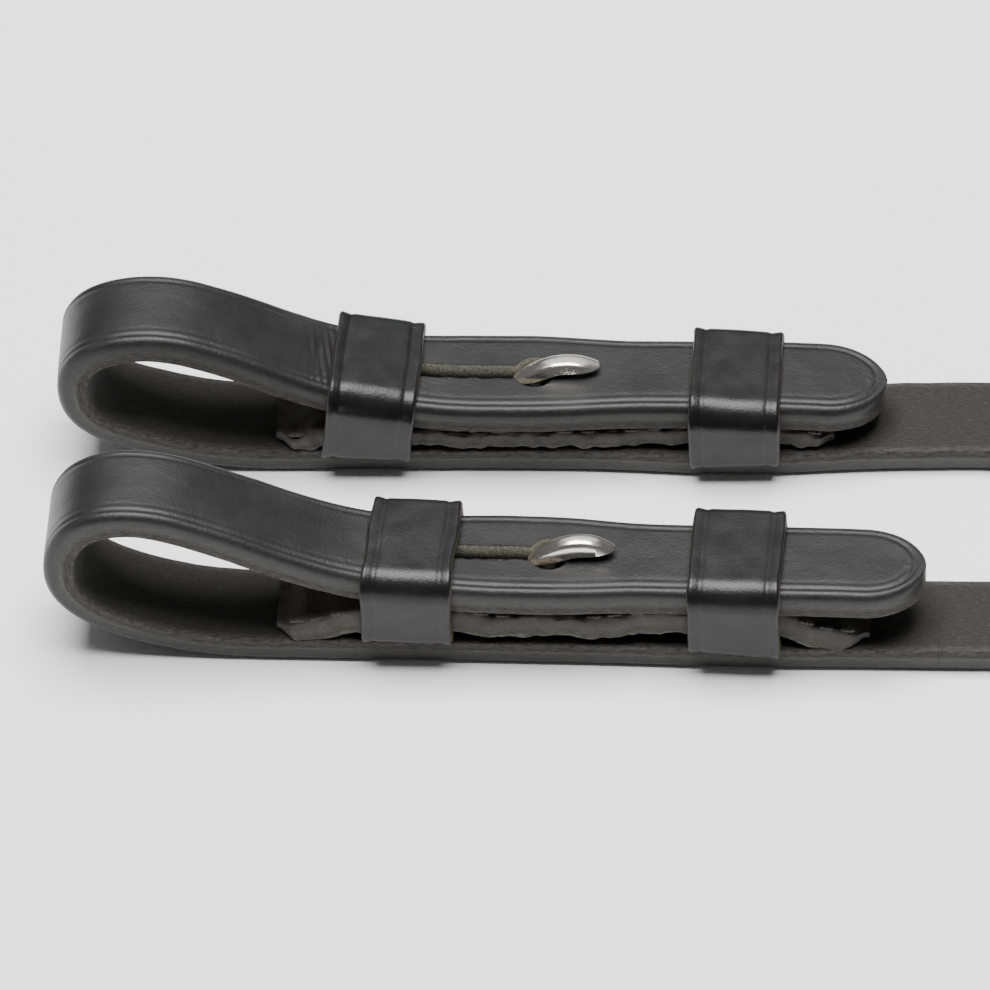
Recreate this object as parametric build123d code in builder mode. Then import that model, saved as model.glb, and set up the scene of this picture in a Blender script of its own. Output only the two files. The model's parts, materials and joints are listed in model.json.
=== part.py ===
"""A pair of half-inch leather riding reins with hook-stud bit ends.

Each rein is one strap. At the bit end it turns up and back over itself into a loop for the bit ring,
and its billet buttons on to a hook stud, held down by two fixed keepers. The stud stands in a tab that
is sewn to the strap's flesh side. Past the bit ends the straps turn on edge, lie flesh to flesh and are
put away as one oval coil, held by two ties. The hand ends lie in the coil: the right rein ends in a
buckle, the left one in a punched point. Millimetres, +Z up, bit loops towards -X, resting on Z = 0.
A rider who faces -X has the left rein at -Y.
"""

import os
from dataclasses import dataclass
from math import cos, pi, radians, sin, tan

from build123d import *

os.makedirs("parts", exist_ok=True)

# Leather
STRAP_W = 13.0  # half an inch, a rein's narrow size
STRAP_T = 4.2
TAB_T = 2.4
KEEPER_T = 1.6
SKIM = 0.1  # between layers that lie on each other
SIDE_GAP = 0.2  # between a keeper and the edges of what it holds

# Bit end, along the strap
BIT_END_HALF = 61.3  # from the middle of the bit end to where the free rein begins
KEEPER_W = 12.2
TIP_LENGTH = 8.5
TIP_REACH = 13.5  # from the rear keeper's middle line to where the billet starts to bend down
BILLET_BEND_R = 30.0

# Bit loop
LOOP_TOE = 17.5  # from the nose's centre line to where the strap leaves the ground
LOOP_HEEL = 9.6  # how high the nose's lower corner stands over the strap's centre line
LOOP_BROW = 5.6  # how far the nose's upper corner is below the loop's top corner
LOOP_TOP = 12.5  # from the nose's centre line to the loop's top corner

# Hook stud and keyhole
NECK_D = 3.2
NECK_CLEARANCE = 0.1
STUD_BASE_D = 9.0
STUD_BASE_T = 0.8
HOOK_REACH = 10.6
HOOK_RISE = 2.7
HOOK_W = 3.2
KEYHOLE_D = 4.8
SLIT_W = 1.4
SLIT_LENGTH = 18.0

# Stitches
STITCH_LENGTH = 2.1
STITCH_PITCH = 3.1
STITCH_D = 0.5
STITCH_INSET = 1.7

# Coil
COIL_GAP = 0.3
COIL_HALF_TURNS = 6
COIL_END_R = 43.5  # of the pair's middle line, in the first half turn
COIL_STRAIGHT = 86.0
COIL_START = (142.0, 0.0)
TIE_T = 0.8
TIE_W = 6.0

# Hand ends
POINT_LENGTH = 30.0
POINT_TAPER = 8.0
PUNCH_D = 3.0
PUNCH_PLACES = (12.0, 22.0)  # from the point
CHAPE_REACH = 80.0  # from the coil to the buckle's bar
CHAPE_BEND = (28.0, 10.0)  # where the right hand end bends inward, and by how many degrees
BAR_D = 2.6
BAR_CLEARANCE = 0.05
FRAME_WIRE = 2.4
FRAME_LENGTH = 14.4
FRAME_SIDE_GAP = 0.3
FLOOR_GAP = 0.3
TONGUE_W = 1.9
TONGUE_SLOT_W = 4.2
HAND_KEEPER_T = 1.3
HAND_KEEPER_W = 6.5
FIXED_KEEPER_AT = -10.5
RUNNING_KEEPER_AT = -27.0
POINT_ROOM = STRAP_T + 0.4  # inside the hand keepers, over the chape, for the other rein's point


@dataclass(frozen=True)
class BitEnd:
    """One rein's bit end. Places along it are measured from its middle, towards the hand."""

    side: str
    across: float  # its centre line's Y at its middle
    splay: float  # degrees that its centre line turns away from +X
    nose: float  # the bit loop's foremost point
    loop_height: float  # of the loop's top corner, which its curve passes under
    front_keeper: float  # each keeper's middle
    rear_keeper: float
    stud: float
    tip: float
    tab_start: float
    tab_end: float
    lift: float  # how far the sewn tab stands off the strap
    billet_rise: float  # how much higher the billet is at the front keeper's loop side
    tip_drop: float  # how much lower the billet is at its tip


BIT_ENDS = (
    BitEnd("left", -17.7, -0.66, -59.6, 27.2, -10.1, 34.0, 8.7, 59.6, -28.4, 52.0, 2.2, 2.4, 0.2),
    BitEnd("right", 17.7, 0.66, -60.2, 25.2, -17.3, 32.4, 4.8, 52.8, -30.9, 45.5, 0.4, 3.4, 1.2),
)

# The free rein's route from the bit end to the coil. The left rein's is its mirror image.
LEAD_ROUTE = (
    (61.3, 18.4, 2.1),
    (78.0, 18.6, 2.4),
    (95.0, 14.8, 5.4),
    (110.0, 8.2, 7.2),
    (125.0, 2.25, 7.5),
    (142.0, 2.25, 7.3),
)
TWIST_START = 0.1  # share of the route's length where the strap starts to turn on edge
TWIST_END = 0.9


def side_plane(end):
    """The upright plane along a bit end's centre line: X along the rein, Y up."""
    turn = radians(end.splay)
    return Plane(origin=(0, end.across, 0), x_dir=(cos(turn), sin(turn), 0), z_dir=(sin(turn), -cos(turn), 0))


def level_plane(end, height):
    """The level plane at a height over a bit end: X along the rein, Y across it."""
    turn = radians(end.splay)
    return Plane(origin=(0, end.across, height), x_dir=(cos(turn), sin(turn), 0), z_dir=(0, 0, 1))


def cross_plane(end, along):
    """The upright plane square across a bit end: X across the rein, Y up."""
    turn = radians(end.splay)
    return Plane(
        origin=(along * cos(turn), end.across + along * sin(turn), 0),
        x_dir=(-sin(turn), cos(turn), 0),
        z_dir=(cos(turn), sin(turn), 0),
    )


def shared_radii(points):
    """The arcs that share each run between its two corners: 0.45 of the shorter run over tan(half the turn)."""
    corners = [Vector(*p) for p in points]
    radii = []
    for before, corner, after in zip(corners, corners[1:], corners[2:]):
        run_in, run_out = corner - before, after - corner
        half_turn = radians(run_in.get_angle(run_out)) / 2
        radii.append(0.45 * min(run_in.length, run_out.length) / tan(half_turn))
    return radii


def stack_height(end):
    """The height of the billet's underside over the stud, on the strap, the keeper, the tab and their skim."""
    return STRAP_T + end.lift + KEEPER_T + TAB_T + SKIM


def billet_bend(end):
    """Where the billet levels out behind the front keeper."""
    return end.front_keeper + KEEPER_W / 2 + 4.5


def billet_slope(end):
    """The billet's rise per millimetre towards the loop, under the front keeper."""
    return end.billet_rise / (billet_bend(end) - end.front_keeper + KEEPER_W / 2)


def billet_bottom(end, along):
    """The height of the billet's underside from the front keeper to the tip's bend."""
    return stack_height(end) + billet_slope(end) * max(0.0, billet_bend(end) - along)


def strap_route(end):
    """The strap's centre line in the side plane, from the free rein round the loop to the tip, and its radii."""
    ground, nose = STRAP_T / 2, end.nose + STRAP_T / 2
    billet = stack_height(end) + STRAP_T / 2
    loop_foot = end.front_keeper - KEEPER_W / 2 - 3.5
    tip_bend = end.rear_keeper + TIP_REACH - KEEPER_W / 2
    points = [
        (BIT_END_HALF / cos(radians(end.splay)), ground),
        (nose + LOOP_TOE, ground),
        (nose, ground + LOOP_HEEL),
        (nose, end.loop_height - LOOP_BROW),
        (nose + LOOP_TOP, end.loop_height),
        (loop_foot, billet + billet_slope(end) * (billet_bend(end) - loop_foot)),
        (billet_bend(end), billet),
        (tip_bend, billet),
        (end.tip, billet - end.tip_drop),
    ]
    return points, shared_radii(points)[:4] + [BILLET_BEND_R] * 3


def make_strap(end):
    """The strap's bit end: flat on the ground, round the loop, back as the billet with its keyhole and tip."""
    points, radii = strap_route(end)
    over_strap = STRAP_T + (end.lift + KEEPER_T + TAB_T) / 2
    with BuildPart() as strap:
        with BuildSketch(side_plane(end)):
            with BuildLine() as centre:
                FilletPolyline(*points, radius=radii)
            trace(lines=centre.line, line_width=STRAP_T)
        extrude(amount=STRAP_W / 2, both=True)
        with BuildSketch(level_plane(end, over_strap)):
            with Locations((end.tip, 0)):
                Rectangle(2 * TIP_LENGTH, STRAP_W + 2)
            with Locations((end.tip - TIP_LENGTH, 0)):
                Ellipse(TIP_LENGTH, STRAP_W / 2, mode=Mode.SUBTRACT)
        extrude(amount=end.loop_height, mode=Mode.SUBTRACT)
        with BuildSketch(level_plane(end, over_strap)):
            with Locations((end.stud, 0)):
                Circle(KEYHOLE_D / 2)
            with Locations((end.stud - SLIT_LENGTH / 2, 0)):
                SlotOverall(SLIT_LENGTH, SLIT_W)
        extrude(amount=end.loop_height, mode=Mode.SUBTRACT)
    return strap.part


def tab_route(end):
    """The tab's centre line in the side plane: sewn down at its ends, over the keepers' ends, down at the stud."""
    low, over_keeper = STRAP_T + TAB_T / 2, STRAP_T + end.lift + KEEPER_T + TAB_T / 2
    at_stud = STRAP_T + end.lift + STUD_BASE_T + TAB_T / 2
    half, ramp = KEEPER_W / 2 + 1.2, 3.4
    return [
        (end.tab_start, low),
        (end.front_keeper - half - ramp, low),
        (end.front_keeper - half, over_keeper),
        (end.front_keeper + half, over_keeper),
        (end.front_keeper + half + ramp, at_stud),
        (end.rear_keeper - half - ramp, at_stud),
        (end.rear_keeper - half, over_keeper),
        (end.rear_keeper + half, over_keeper),
        (end.rear_keeper + half + ramp, low),
        (end.tab_end, low),
    ]


def make_tab(end):
    """The stud tab, the middle layer that is sewn on the strap and holds the stud."""
    points = tab_route(end)
    with BuildPart() as tab:
        with BuildSketch(side_plane(end)):
            with BuildLine() as centre:
                FilletPolyline(*points, radius=[TAB_T] * (len(points) - 2))
            trace(lines=centre.line, line_width=TAB_T)
        extrude(amount=STRAP_W / 2, both=True)
        with BuildSketch(level_plane(end, 0)):
            with Locations((end.stud, 0)):
                Circle(NECK_D / 2 + NECK_CLEARANCE)
        extrude(amount=end.loop_height, mode=Mode.SUBTRACT)
    return tab.part


def keeper_sections(end, middle, wall):
    """The height and width of a keeper's ring at its two ends: (place, bottom, top, width), out by a wall."""
    base = STRAP_T + end.lift + KEEPER_T
    for along in (middle - KEEPER_W / 2, middle + KEEPER_W / 2):
        top = billet_bottom(end, along) + STRAP_T + SKIM
        yield along, base - wall, top + wall, STRAP_W + 2 * (SIDE_GAP + wall)


def make_keeper(end, middle):
    """A fixed keeper: a closed band round the tab and the billet, whose joined ends lie under the tab."""
    with BuildPart() as keeper:
        for wall, corner, mode in ((KEEPER_T, KEEPER_T + 0.9, Mode.ADD), (0.0, SIDE_GAP / 2, Mode.SUBTRACT)):
            for along, bottom, top, width in keeper_sections(end, middle, wall):
                with BuildSketch(cross_plane(end, along)):
                    with Locations((0, (bottom + top) / 2)):
                        RectangleRounded(width, top - bottom, corner)
            loft(ruled=True, mode=mode)
    return keeper.part


def make_stud(end):
    """The hook stud: a base under the tab, a neck up through the keyhole and a hook that points to the hand."""
    base_bottom = STRAP_T + end.lift
    crown = billet_bottom(end, end.stud) + STRAP_T
    half_neck = NECK_D / 2
    with BuildPart() as stud:
        with BuildSketch(level_plane(end, base_bottom)):
            with Locations((end.stud, 0)):
                Circle(STUD_BASE_D / 2)
        extrude(amount=STUD_BASE_T)
        with BuildSketch(level_plane(end, base_bottom)):
            with Locations((end.stud, 0)):
                Circle(half_neck)
        extrude(amount=crown + 0.9 - base_bottom)
        with BuildSketch(side_plane(end)):
            with BuildLine():
                back, front = end.stud - half_neck - 0.4, end.stud + HOOK_REACH
                ThreePointArc(
                    (back, crown + 0.5), (end.stud + 0.42 * HOOK_REACH, crown + HOOK_RISE), (front, crown + 0.7)
                )
                ThreePointArc(
                    (front, crown + 0.7), (end.stud + 0.5 * HOOK_REACH, crown + 0.95), (back, crown + 0.5)
                )
            make_face()
        extrude(amount=HOOK_W / 2, both=True)
    return stud.part


def make_stitches(end):
    """The tab's stitches where it is sewn down: a row along each edge, lying on the tab."""
    half, ramp = KEEPER_W / 2 + 1.2, 3.4
    low, at_stud = STRAP_T + TAB_T, STRAP_T + end.lift + STUD_BASE_T + TAB_T
    rows = (
        (end.tab_start + 1.0, end.front_keeper - half - ramp - 0.8, low),
        (end.front_keeper + half + ramp + 0.8, end.stud - STUD_BASE_D / 2, at_stud),
        (end.stud + STUD_BASE_D / 2, end.rear_keeper - half - ramp - 0.8, at_stud),
        (end.rear_keeper + half + ramp + 0.8, end.tab_end - 1.0, low),
    )
    across = STRAP_W / 2 - STITCH_INSET
    with BuildPart() as stitches:
        for start, stop, top in rows:
            count = max(0, int((stop - start - STITCH_LENGTH) // STITCH_PITCH) + 1)
            for i in range(count):
                place = start + STITCH_LENGTH / 2 + i * STITCH_PITCH
                with BuildSketch(level_plane(end, top)):
                    with Locations((place, -across), (place, across)):
                        SlotOverall(STITCH_LENGTH, STITCH_D)
                extrude(amount=STITCH_D / 2)
    return stitches.part


def twist_at(share):
    """How far the strap has turned on edge, 0 to 1, with a smooth start and stop."""
    t = min(1.0, max(0.0, (share - TWIST_START) / (TWIST_END - TWIST_START)))
    return t * t * (3 - 2 * t)


def make_lead(side, mirror):
    """A free rein from the bit end to the coil: flesh side up at first, then turned on edge, flesh inward."""
    stations = 17
    points = [(x, mirror * y, z) for x, y, z in LEAD_ROUTE]
    radii = shared_radii(points)
    with BuildPart() as lead:
        with BuildLine(mode=Mode.PRIVATE) as route:
            FilletPolyline(*points, radius=radii)
        wire = route.wires()[0]
        for i in range(stations):
            share = i / (stations - 1)
            turn = twist_at(share) * pi / 2
            place, along = wire.position_at(share), wire.tangent_at(share)
            level = Vector(along.X, along.Y, 0).normalized()
            across = Vector(-level.Y, level.X, 0)
            foot = TIE_T * twist_at(share)
            height = foot + STRAP_W / 2 * sin(turn) + STRAP_T / 2 * cos(turn)
            width_way = across * cos(turn) + Vector(0, 0, mirror * sin(turn))
            with BuildSketch(Plane(origin=(place.X, place.Y, height), x_dir=width_way, z_dir=level)):
                Rectangle(STRAP_W, STRAP_T)
        loft(ruled=True)
    expected = STRAP_W * STRAP_T * wire.length
    print(f"{side}_lead radii", [round(r, 1) for r in radii], f"length {wire.length:.1f}")
    print(f"{side}_lead volume {lead.part.volume:.0f}, section times length {expected:.0f}")
    return lead.part


PAIR_PITCH = 2 * (STRAP_T + COIL_GAP)


def oval_outline(right_r, left_r, low_y):
    """One turn of the coil's wall: straight, right end, straight, left end and the step to the next turn."""
    x, straight = COIL_START[0], COIL_STRAIGHT
    top_y, last_y = low_y + 2 * right_r, low_y + 2 * right_r - 2 * left_r
    Line((x, low_y), (x + straight, low_y))
    ThreePointArc((x + straight, low_y), (x + straight + right_r, low_y + right_r), (x + straight, top_y))
    Line((x + straight, top_y), (x, top_y))
    ThreePointArc((x, top_y), (x - left_r, top_y - left_r), (x, last_y))
    Line((x, last_y), (x, low_y))


def make_coil():
    """The coil of both reins, on edge and flesh to flesh, as one solid between its outer and inner walls."""
    half, step = PAIR_PITCH / 2, PAIR_PITCH / 2
    turns = COIL_HALF_TURNS / 2
    with BuildPart() as coil:
        with BuildSketch(Plane.XY.offset(TIE_T)):
            with BuildLine():
                oval_outline(COIL_END_R + half, COIL_END_R - step + half, COIL_START[1] - half)
            make_face()
            inner_r = COIL_END_R - (COIL_HALF_TURNS - 2) * step - half
            with BuildLine():
                oval_outline(inner_r, inner_r - step, COIL_START[1] - half + turns * PAIR_PITCH)
            make_face(mode=Mode.SUBTRACT)
        extrude(amount=STRAP_W)
    return coil.part


def make_ties():
    """Two flat laces, each passed once round the coil's three turns on a long side."""
    bundle = COIL_HALF_TURNS / 2 * PAIR_PITCH
    low = COIL_START[1] - PAIR_PITCH / 2
    far = low + 2 * COIL_END_R + PAIR_PITCH - bundle
    middle = COIL_START[0] + COIL_STRAIGHT / 2
    with BuildPart() as ties:
        for place, start in ((middle + 15.0, low), (middle - 5.0, far)):
            with BuildSketch(Plane(origin=(place, start + bundle / 2, 0), x_dir=(0, 1, 0), z_dir=(1, 0, 0))):
                with Locations((0, TIE_T + STRAP_W / 2)):
                    Rectangle(bundle + 2 * (TIE_T + SKIM), STRAP_W + 2 * TIE_T)
                    Rectangle(bundle + 2 * SKIM, STRAP_W, mode=Mode.SUBTRACT)
            extrude(amount=TIE_W / 2, both=True)
    return ties.part


def make_point():
    """The left rein's hand end: a tapered point with punched holes, lying along the coil's inner wall."""
    x = COIL_START[0]
    y = COIL_START[1] + COIL_HALF_TURNS / 2 * PAIR_PITCH - PAIR_PITCH / 4
    low, high, end = TIE_T, TIE_T + STRAP_W, x + POINT_LENGTH
    with BuildPart() as point:
        with BuildSketch(Plane(origin=(0, y, 0), x_dir=(1, 0, 0), z_dir=(0, -1, 0))):
            with BuildLine():
                Polyline((end - POINT_TAPER, high), (x, high), (x, low), (end - POINT_TAPER, low))
                ThreePointArc((end - POINT_TAPER, low), (end, (low + high) / 2), (end - POINT_TAPER, high))
            make_face()
            with Locations(*[(end - place, (low + high) / 2) for place in PUNCH_PLACES]):
                Circle(PUNCH_D / 2, mode=Mode.SUBTRACT)
        extrude(amount=STRAP_T / 2, both=True)
    return point.part


# The right hand end lies in a plane that rises a little, because the buckle is wider than the strap.
BAR_R = BAR_D / 2
FRAME_HALF_W = STRAP_W / 2 + FRAME_SIDE_GAP + FRAME_WIRE
HAND_RISE = FLOOR_GAP + FRAME_HALF_W - (TIE_T + STRAP_W / 2)
HAND_TILT = HAND_RISE / CHAPE_REACH
HAND_START = Vector(
    COIL_START[0], COIL_START[1] + COIL_HALF_TURNS / 2 * PAIR_PITCH + PAIR_PITCH / 4, TIE_T + STRAP_W / 2
)
HAND_PLANE = Plane(
    origin=HAND_START, x_dir=(cos(HAND_TILT), 0, sin(HAND_TILT)), z_dir=(-sin(HAND_TILT), 0, cos(HAND_TILT))
)
BEND_AT, BEND_TURN = CHAPE_BEND[0], radians(CHAPE_BEND[1])
BAR_PLACE = (BEND_AT + (CHAPE_REACH - BEND_AT) * cos(BEND_TURN), (CHAPE_REACH - BEND_AT) * sin(BEND_TURN))
BAR_ORIGIN = HAND_PLANE.from_local_coords(Vector(*BAR_PLACE, 0))
ALONG = HAND_PLANE.x_dir * cos(BEND_TURN) + HAND_PLANE.y_dir * sin(BEND_TURN)
BAR_PLANE = Plane(origin=BAR_ORIGIN, x_dir=ALONG, z_dir=HAND_PLANE.z_dir)  # X along, Y to the grain, Z the bar
PLY_T = STRAP_T / 2  # the strap is skived to half before it is folded round the bar


def bar_section(along):
    """The plane square across the right hand end, at a place along it from the bar: X to the grain, Y up."""
    origin = BAR_PLANE.from_local_coords(Vector(along, 0, 0))
    return Plane(origin=origin, x_dir=BAR_PLANE.y_dir, z_dir=BAR_PLANE.x_dir)


def make_chape():
    """The right rein's hand end: a gentle bend, then the chape, folded round the bar with a slot for the tongue."""
    slot_reach = BAR_R + PLY_T + 1.0
    with BuildPart() as chape:
        with BuildSketch(HAND_PLANE):
            with BuildLine() as centre:
                FilletPolyline((-1, 0), (BEND_AT, 0), BAR_PLACE, radius=0.45 * BEND_AT / tan(BEND_TURN / 2))
            trace(lines=centre.line, line_width=STRAP_T)
            with Locations(BAR_PLACE):
                Circle(BAR_R + BAR_CLEARANCE + PLY_T)
                Circle(BAR_R + BAR_CLEARANCE, mode=Mode.SUBTRACT)
        extrude(amount=STRAP_W / 2, both=True)
        with BuildSketch(BAR_PLANE):
            Rectangle(2 * slot_reach, 4 * slot_reach)
        extrude(amount=TONGUE_SLOT_W / 2, both=True, mode=Mode.SUBTRACT)
        split(bisect_by=Plane(origin=HAND_START, z_dir=(1, 0, 0)))
    return chape.part


def make_frame():
    """The buckle's frame, cast in one with its bar: two sides, the front bar and the bar in the chape."""
    half_inside = STRAP_W / 2 + FRAME_SIDE_GAP
    with BuildPart() as buckle:
        with BuildSketch(Plane(origin=BAR_PLANE.origin, x_dir=BAR_PLANE.x_dir, z_dir=BAR_PLANE.y_dir)):
            with Locations(((FRAME_LENGTH + FRAME_WIRE - BAR_R) / 2 - FRAME_WIRE / 4, 0)):
                RectangleRounded(FRAME_LENGTH + FRAME_WIRE / 2 + BAR_R, 2 * FRAME_HALF_W, BAR_R)
            with Locations((FRAME_LENGTH / 2 - FRAME_WIRE, 0)):
                Rectangle(FRAME_LENGTH + FRAME_WIRE, 2 * half_inside, mode=Mode.SUBTRACT)
        extrude(amount=FRAME_WIRE / 2, both=True)
        with BuildSketch(BAR_PLANE.offset(-half_inside - FRAME_WIRE / 2)):
            Circle(BAR_R)
        extrude(amount=2 * half_inside + FRAME_WIRE)
    return buckle.part


def make_tongue():
    """The buckle's tongue: an eye round the bar and a pin that rests on the front bar."""
    eye_r = BAR_R + BAR_CLEARANCE
    rest = FRAME_WIRE / 2 + SKIM
    with BuildPart() as tongue:
        with BuildSketch(BAR_PLANE):
            with BuildLine():
                Polyline(
                    (0, eye_r), (FRAME_LENGTH + 1.0, rest), (FRAME_LENGTH + 1.0, rest + TONGUE_W * 0.7),
                    (FRAME_LENGTH * 0.5, rest + TONGUE_W), (0, eye_r + 1.1), (0, eye_r),
                )
            make_face()
            Circle(eye_r + 1.1)
            Circle(eye_r, mode=Mode.SUBTRACT)
        extrude(amount=TONGUE_W / 2, both=True)
    return tongue.part


def make_hand_keeper(middle):
    """A keeper on the right hand end: a closed band with room over the chape for the other rein's point."""
    low, high = -STRAP_T / 2 - SIDE_GAP, STRAP_T / 2 + POINT_ROOM
    height = STRAP_W + 2 * SIDE_GAP
    with BuildPart() as keeper:
        with BuildSketch(bar_section(middle)):
            with Locations(((low + high) / 2, 0)):
                RectangleRounded(high - low + 2 * HAND_KEEPER_T, height + 2 * HAND_KEEPER_T, 1.8)
                RectangleRounded(high - low, height, 0.5, mode=Mode.SUBTRACT)
        extrude(amount=HAND_KEEPER_W / 2, both=True)
    return keeper.part


def make_chape_stitches():
    """The stitches that close the chape behind the bar: a row along each edge, on the grain side."""
    places = [FIXED_KEEPER_AT - HAND_KEEPER_W / 2 - 1.8 - i * STITCH_PITCH for i in range(3)]
    up = STRAP_W / 2 - STITCH_INSET
    plane = Plane(
        origin=BAR_PLANE.from_local_coords(Vector(0, STRAP_T / 2, 0)), x_dir=BAR_PLANE.x_dir, z_dir=BAR_PLANE.y_dir
    )
    with BuildPart() as stitches:
        with BuildSketch(plane):
            with Locations(*[(place, side * up) for place in places for side in (-1, 1)]):
                SlotOverall(STITCH_LENGTH, STITCH_D)
        extrude(amount=SIDE_GAP * 0.8)
    return stitches.part


def save(part, name):
    """Label a finished piece and write its STEP file."""
    part.label = name
    export_step(part, f"parts/{name}.step")


for bit_end in BIT_ENDS:
    save(make_strap(bit_end), f"{bit_end.side}_bit_end_strap")
    save(make_tab(bit_end), f"{bit_end.side}_stud_tab")
    save(make_stud(bit_end), f"{bit_end.side}_hook_stud")
    save(make_stitches(bit_end), f"{bit_end.side}_tab_stitching")
    save(make_keeper(bit_end, bit_end.front_keeper), f"{bit_end.side}_front_keeper")
    save(make_keeper(bit_end, bit_end.rear_keeper), f"{bit_end.side}_rear_keeper")

save(make_lead("left", -1), "left_rein_run")
save(make_lead("right", 1), "right_rein_run")
save(make_coil(), "reins_coil")
save(make_ties(), "coil_ties")
save(make_point(), "left_hand_end")
save(make_chape(), "right_hand_end")
save(make_frame(), "buckle_frame")
save(make_tongue(), "buckle_tongue")
save(make_hand_keeper(FIXED_KEEPER_AT), "fixed_hand_keeper")
save(make_hand_keeper(RUNNING_KEEPER_AT), "running_hand_keeper")
save(make_chape_stitches(), "chape_stitching")
print("buckle bar at", BAR_ORIGIN, "axis", BAR_PLANE.z_dir, "along", BAR_PLANE.x_dir)
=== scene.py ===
"""A pair of half-inch black leather reins with hook-stud bit ends, laid over their CAD solids.

Each rein is one strap. Its bit end turns back over itself into a loop, is buttoned on a hook stud and
held by two keepers. The rest of both straps runs on edge into an oval coil with two ties, and the hand
ends lie in the coil: a buckle on the right rein and a punched point on the left one. Metres, +Z up.
"""

from __future__ import annotations

import json
import logging
from dataclasses import dataclass
from enum import Enum
from math import cos, pi, radians, sin
from typing import Callable, NamedTuple, Sequence

import bmesh
import bpy
import numpy as np
from bpy.types import Material, Mesh, Node, NodeSocket, Object
from mathutils import Matrix, Vector


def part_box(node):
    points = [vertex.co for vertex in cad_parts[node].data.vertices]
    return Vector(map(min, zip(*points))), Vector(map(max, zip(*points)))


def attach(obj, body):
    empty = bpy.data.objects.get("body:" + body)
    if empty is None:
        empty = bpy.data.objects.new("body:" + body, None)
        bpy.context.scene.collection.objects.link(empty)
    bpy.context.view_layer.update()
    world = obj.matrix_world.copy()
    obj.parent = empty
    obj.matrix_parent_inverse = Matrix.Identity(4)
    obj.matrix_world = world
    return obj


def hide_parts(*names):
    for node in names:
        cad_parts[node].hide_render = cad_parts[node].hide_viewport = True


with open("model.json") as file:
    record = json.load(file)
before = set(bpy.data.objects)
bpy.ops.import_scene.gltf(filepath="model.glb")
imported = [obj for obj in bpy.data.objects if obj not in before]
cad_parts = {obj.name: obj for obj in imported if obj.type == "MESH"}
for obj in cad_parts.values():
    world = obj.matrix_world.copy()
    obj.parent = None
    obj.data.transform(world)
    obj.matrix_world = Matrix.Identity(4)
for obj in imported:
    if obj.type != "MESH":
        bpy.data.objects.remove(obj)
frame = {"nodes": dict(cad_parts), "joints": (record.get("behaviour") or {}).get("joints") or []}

log = logging.getLogger("reins")
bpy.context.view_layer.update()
BODY = "reins"
MM = 0.001

STRAP_W = 13.0 * MM
STRAP_T = 4.2 * MM
TAB_T = 2.4 * MM
KEEPER_T = 1.6 * MM
HAND_KEEPER_T, HAND_KEEPER_W = 1.3 * MM, 6.5 * MM
TIE_T, TIE_W = 0.8 * MM, 6.0 * MM
SIDE_PLAY = 0.2 * MM  # between a strap's edge and the keeper round it

SKIN = 0.05 * MM  # how far below the grain still counts as the grain face
CREASE_INSET, CREASE_DEPTH, CREASE_W = 1.5 * MM, 0.16 * MM, 0.28 * MM
STITCH_PITCH = 3.1 * MM
KEEPER_CLEAR, STUD_CLEAR = 8.6 * MM, 4.0 * MM  # how far the stitches stay from the middle of each
STRAP_STEP, TAB_STEP, REIN_STEP = 0.28 * MM, 0.4 * MM, 1.6 * MM  # between two sections of the mesh
HOLE_R, SLIT_HALF_W, SLIT_LENGTH, SLIT_END = 2.8 * MM, 1.15 * MM, 19.0 * MM, 2.5 * MM
HOOK_TURN = 3.0  # degrees
HOOK_BACK, HOOK_REACH, HOOK_HALF_W, FACET_HALF_W = -3.0 * MM, 11.9 * MM, 1.65 * MM, 0.72 * MM
KEEPER_SKEW, REAR_LEAN = (3.0, 1.2), 1.0  # degrees
PUNCH_R, PUNCH_PLACES = 1.5 * MM, (12.0 * MM, 22.0 * MM)
TONGUE_SLOT_HALF_W = 2.1 * MM
LEAD_LENGTH = 83.7 * MM
SPLINE_SHARE = 0.9808  # of its points' radius, at which a quadratic spline with sixteen points a turn runs

Array = np.ndarray
Colour = tuple[float, ...]


class Side(Enum):
    """The two reins, as a rider has them. The value is the sign of the rein's Y."""

    LEFT = -1
    RIGHT = 1

    @property
    def word(self) -> str:
        """The side's name as the frame's nodes spell it."""
        return self.name.lower()


# ---------------------------------------------------------------- lines and meshes


def read_line(points: Sequence[Sequence[float]]) -> Array:
    """Reads a smooth line off a NURBS spline with the given control points.

    The spline is quadratic and starts and ends at its first and last point.

    Args:
        points: The control points, in metres.

    Returns:
        Points along the spline, one row each.
    """
    curve = bpy.data.curves.new("route", "CURVE")
    curve.dimensions = "3D"
    curve.resolution_u = 12
    spline = curve.splines.new("NURBS")
    spline.points.add(len(points) - 1)
    spline.points.foreach_set("co", np.column_stack([np.array(points, float), np.ones(len(points))]).ravel())
    spline.order_u = 3
    spline.use_endpoint_u = True
    holder = bpy.data.objects.new("route", curve)
    mesh = bpy.data.meshes.new_from_object(holder)
    line = np.empty(len(mesh.vertices) * 3)
    mesh.vertices.foreach_get("co", line)
    bpy.data.objects.remove(holder)
    bpy.data.meshes.remove(mesh)
    bpy.data.curves.remove(curve)
    return line.reshape(-1, 3)


def travelled(line: Array) -> Array:
    """How far along a line each of its points is."""
    return np.concatenate([[0.0], np.cumsum(np.linalg.norm(np.diff(line, axis=0), axis=1))])


def spaced(line: Array, step: float) -> tuple[Array, Array]:
    """Places points at an even distance along a line.

    Args:
        line: Points along the line.
        step: The distance wanted between two points.

    Returns:
        The new points, and each one's distance from the start.
    """
    reached = travelled(line)
    along = np.linspace(0.0, reached[-1], max(2, int(round(reached[-1] / step)) + 1))
    return np.column_stack([np.interp(along, reached, column) for column in line.T]), along


def unit(vectors: Array) -> Array:
    """The vectors at length one."""
    return vectors / np.linalg.norm(vectors, axis=-1, keepdims=True)


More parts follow.
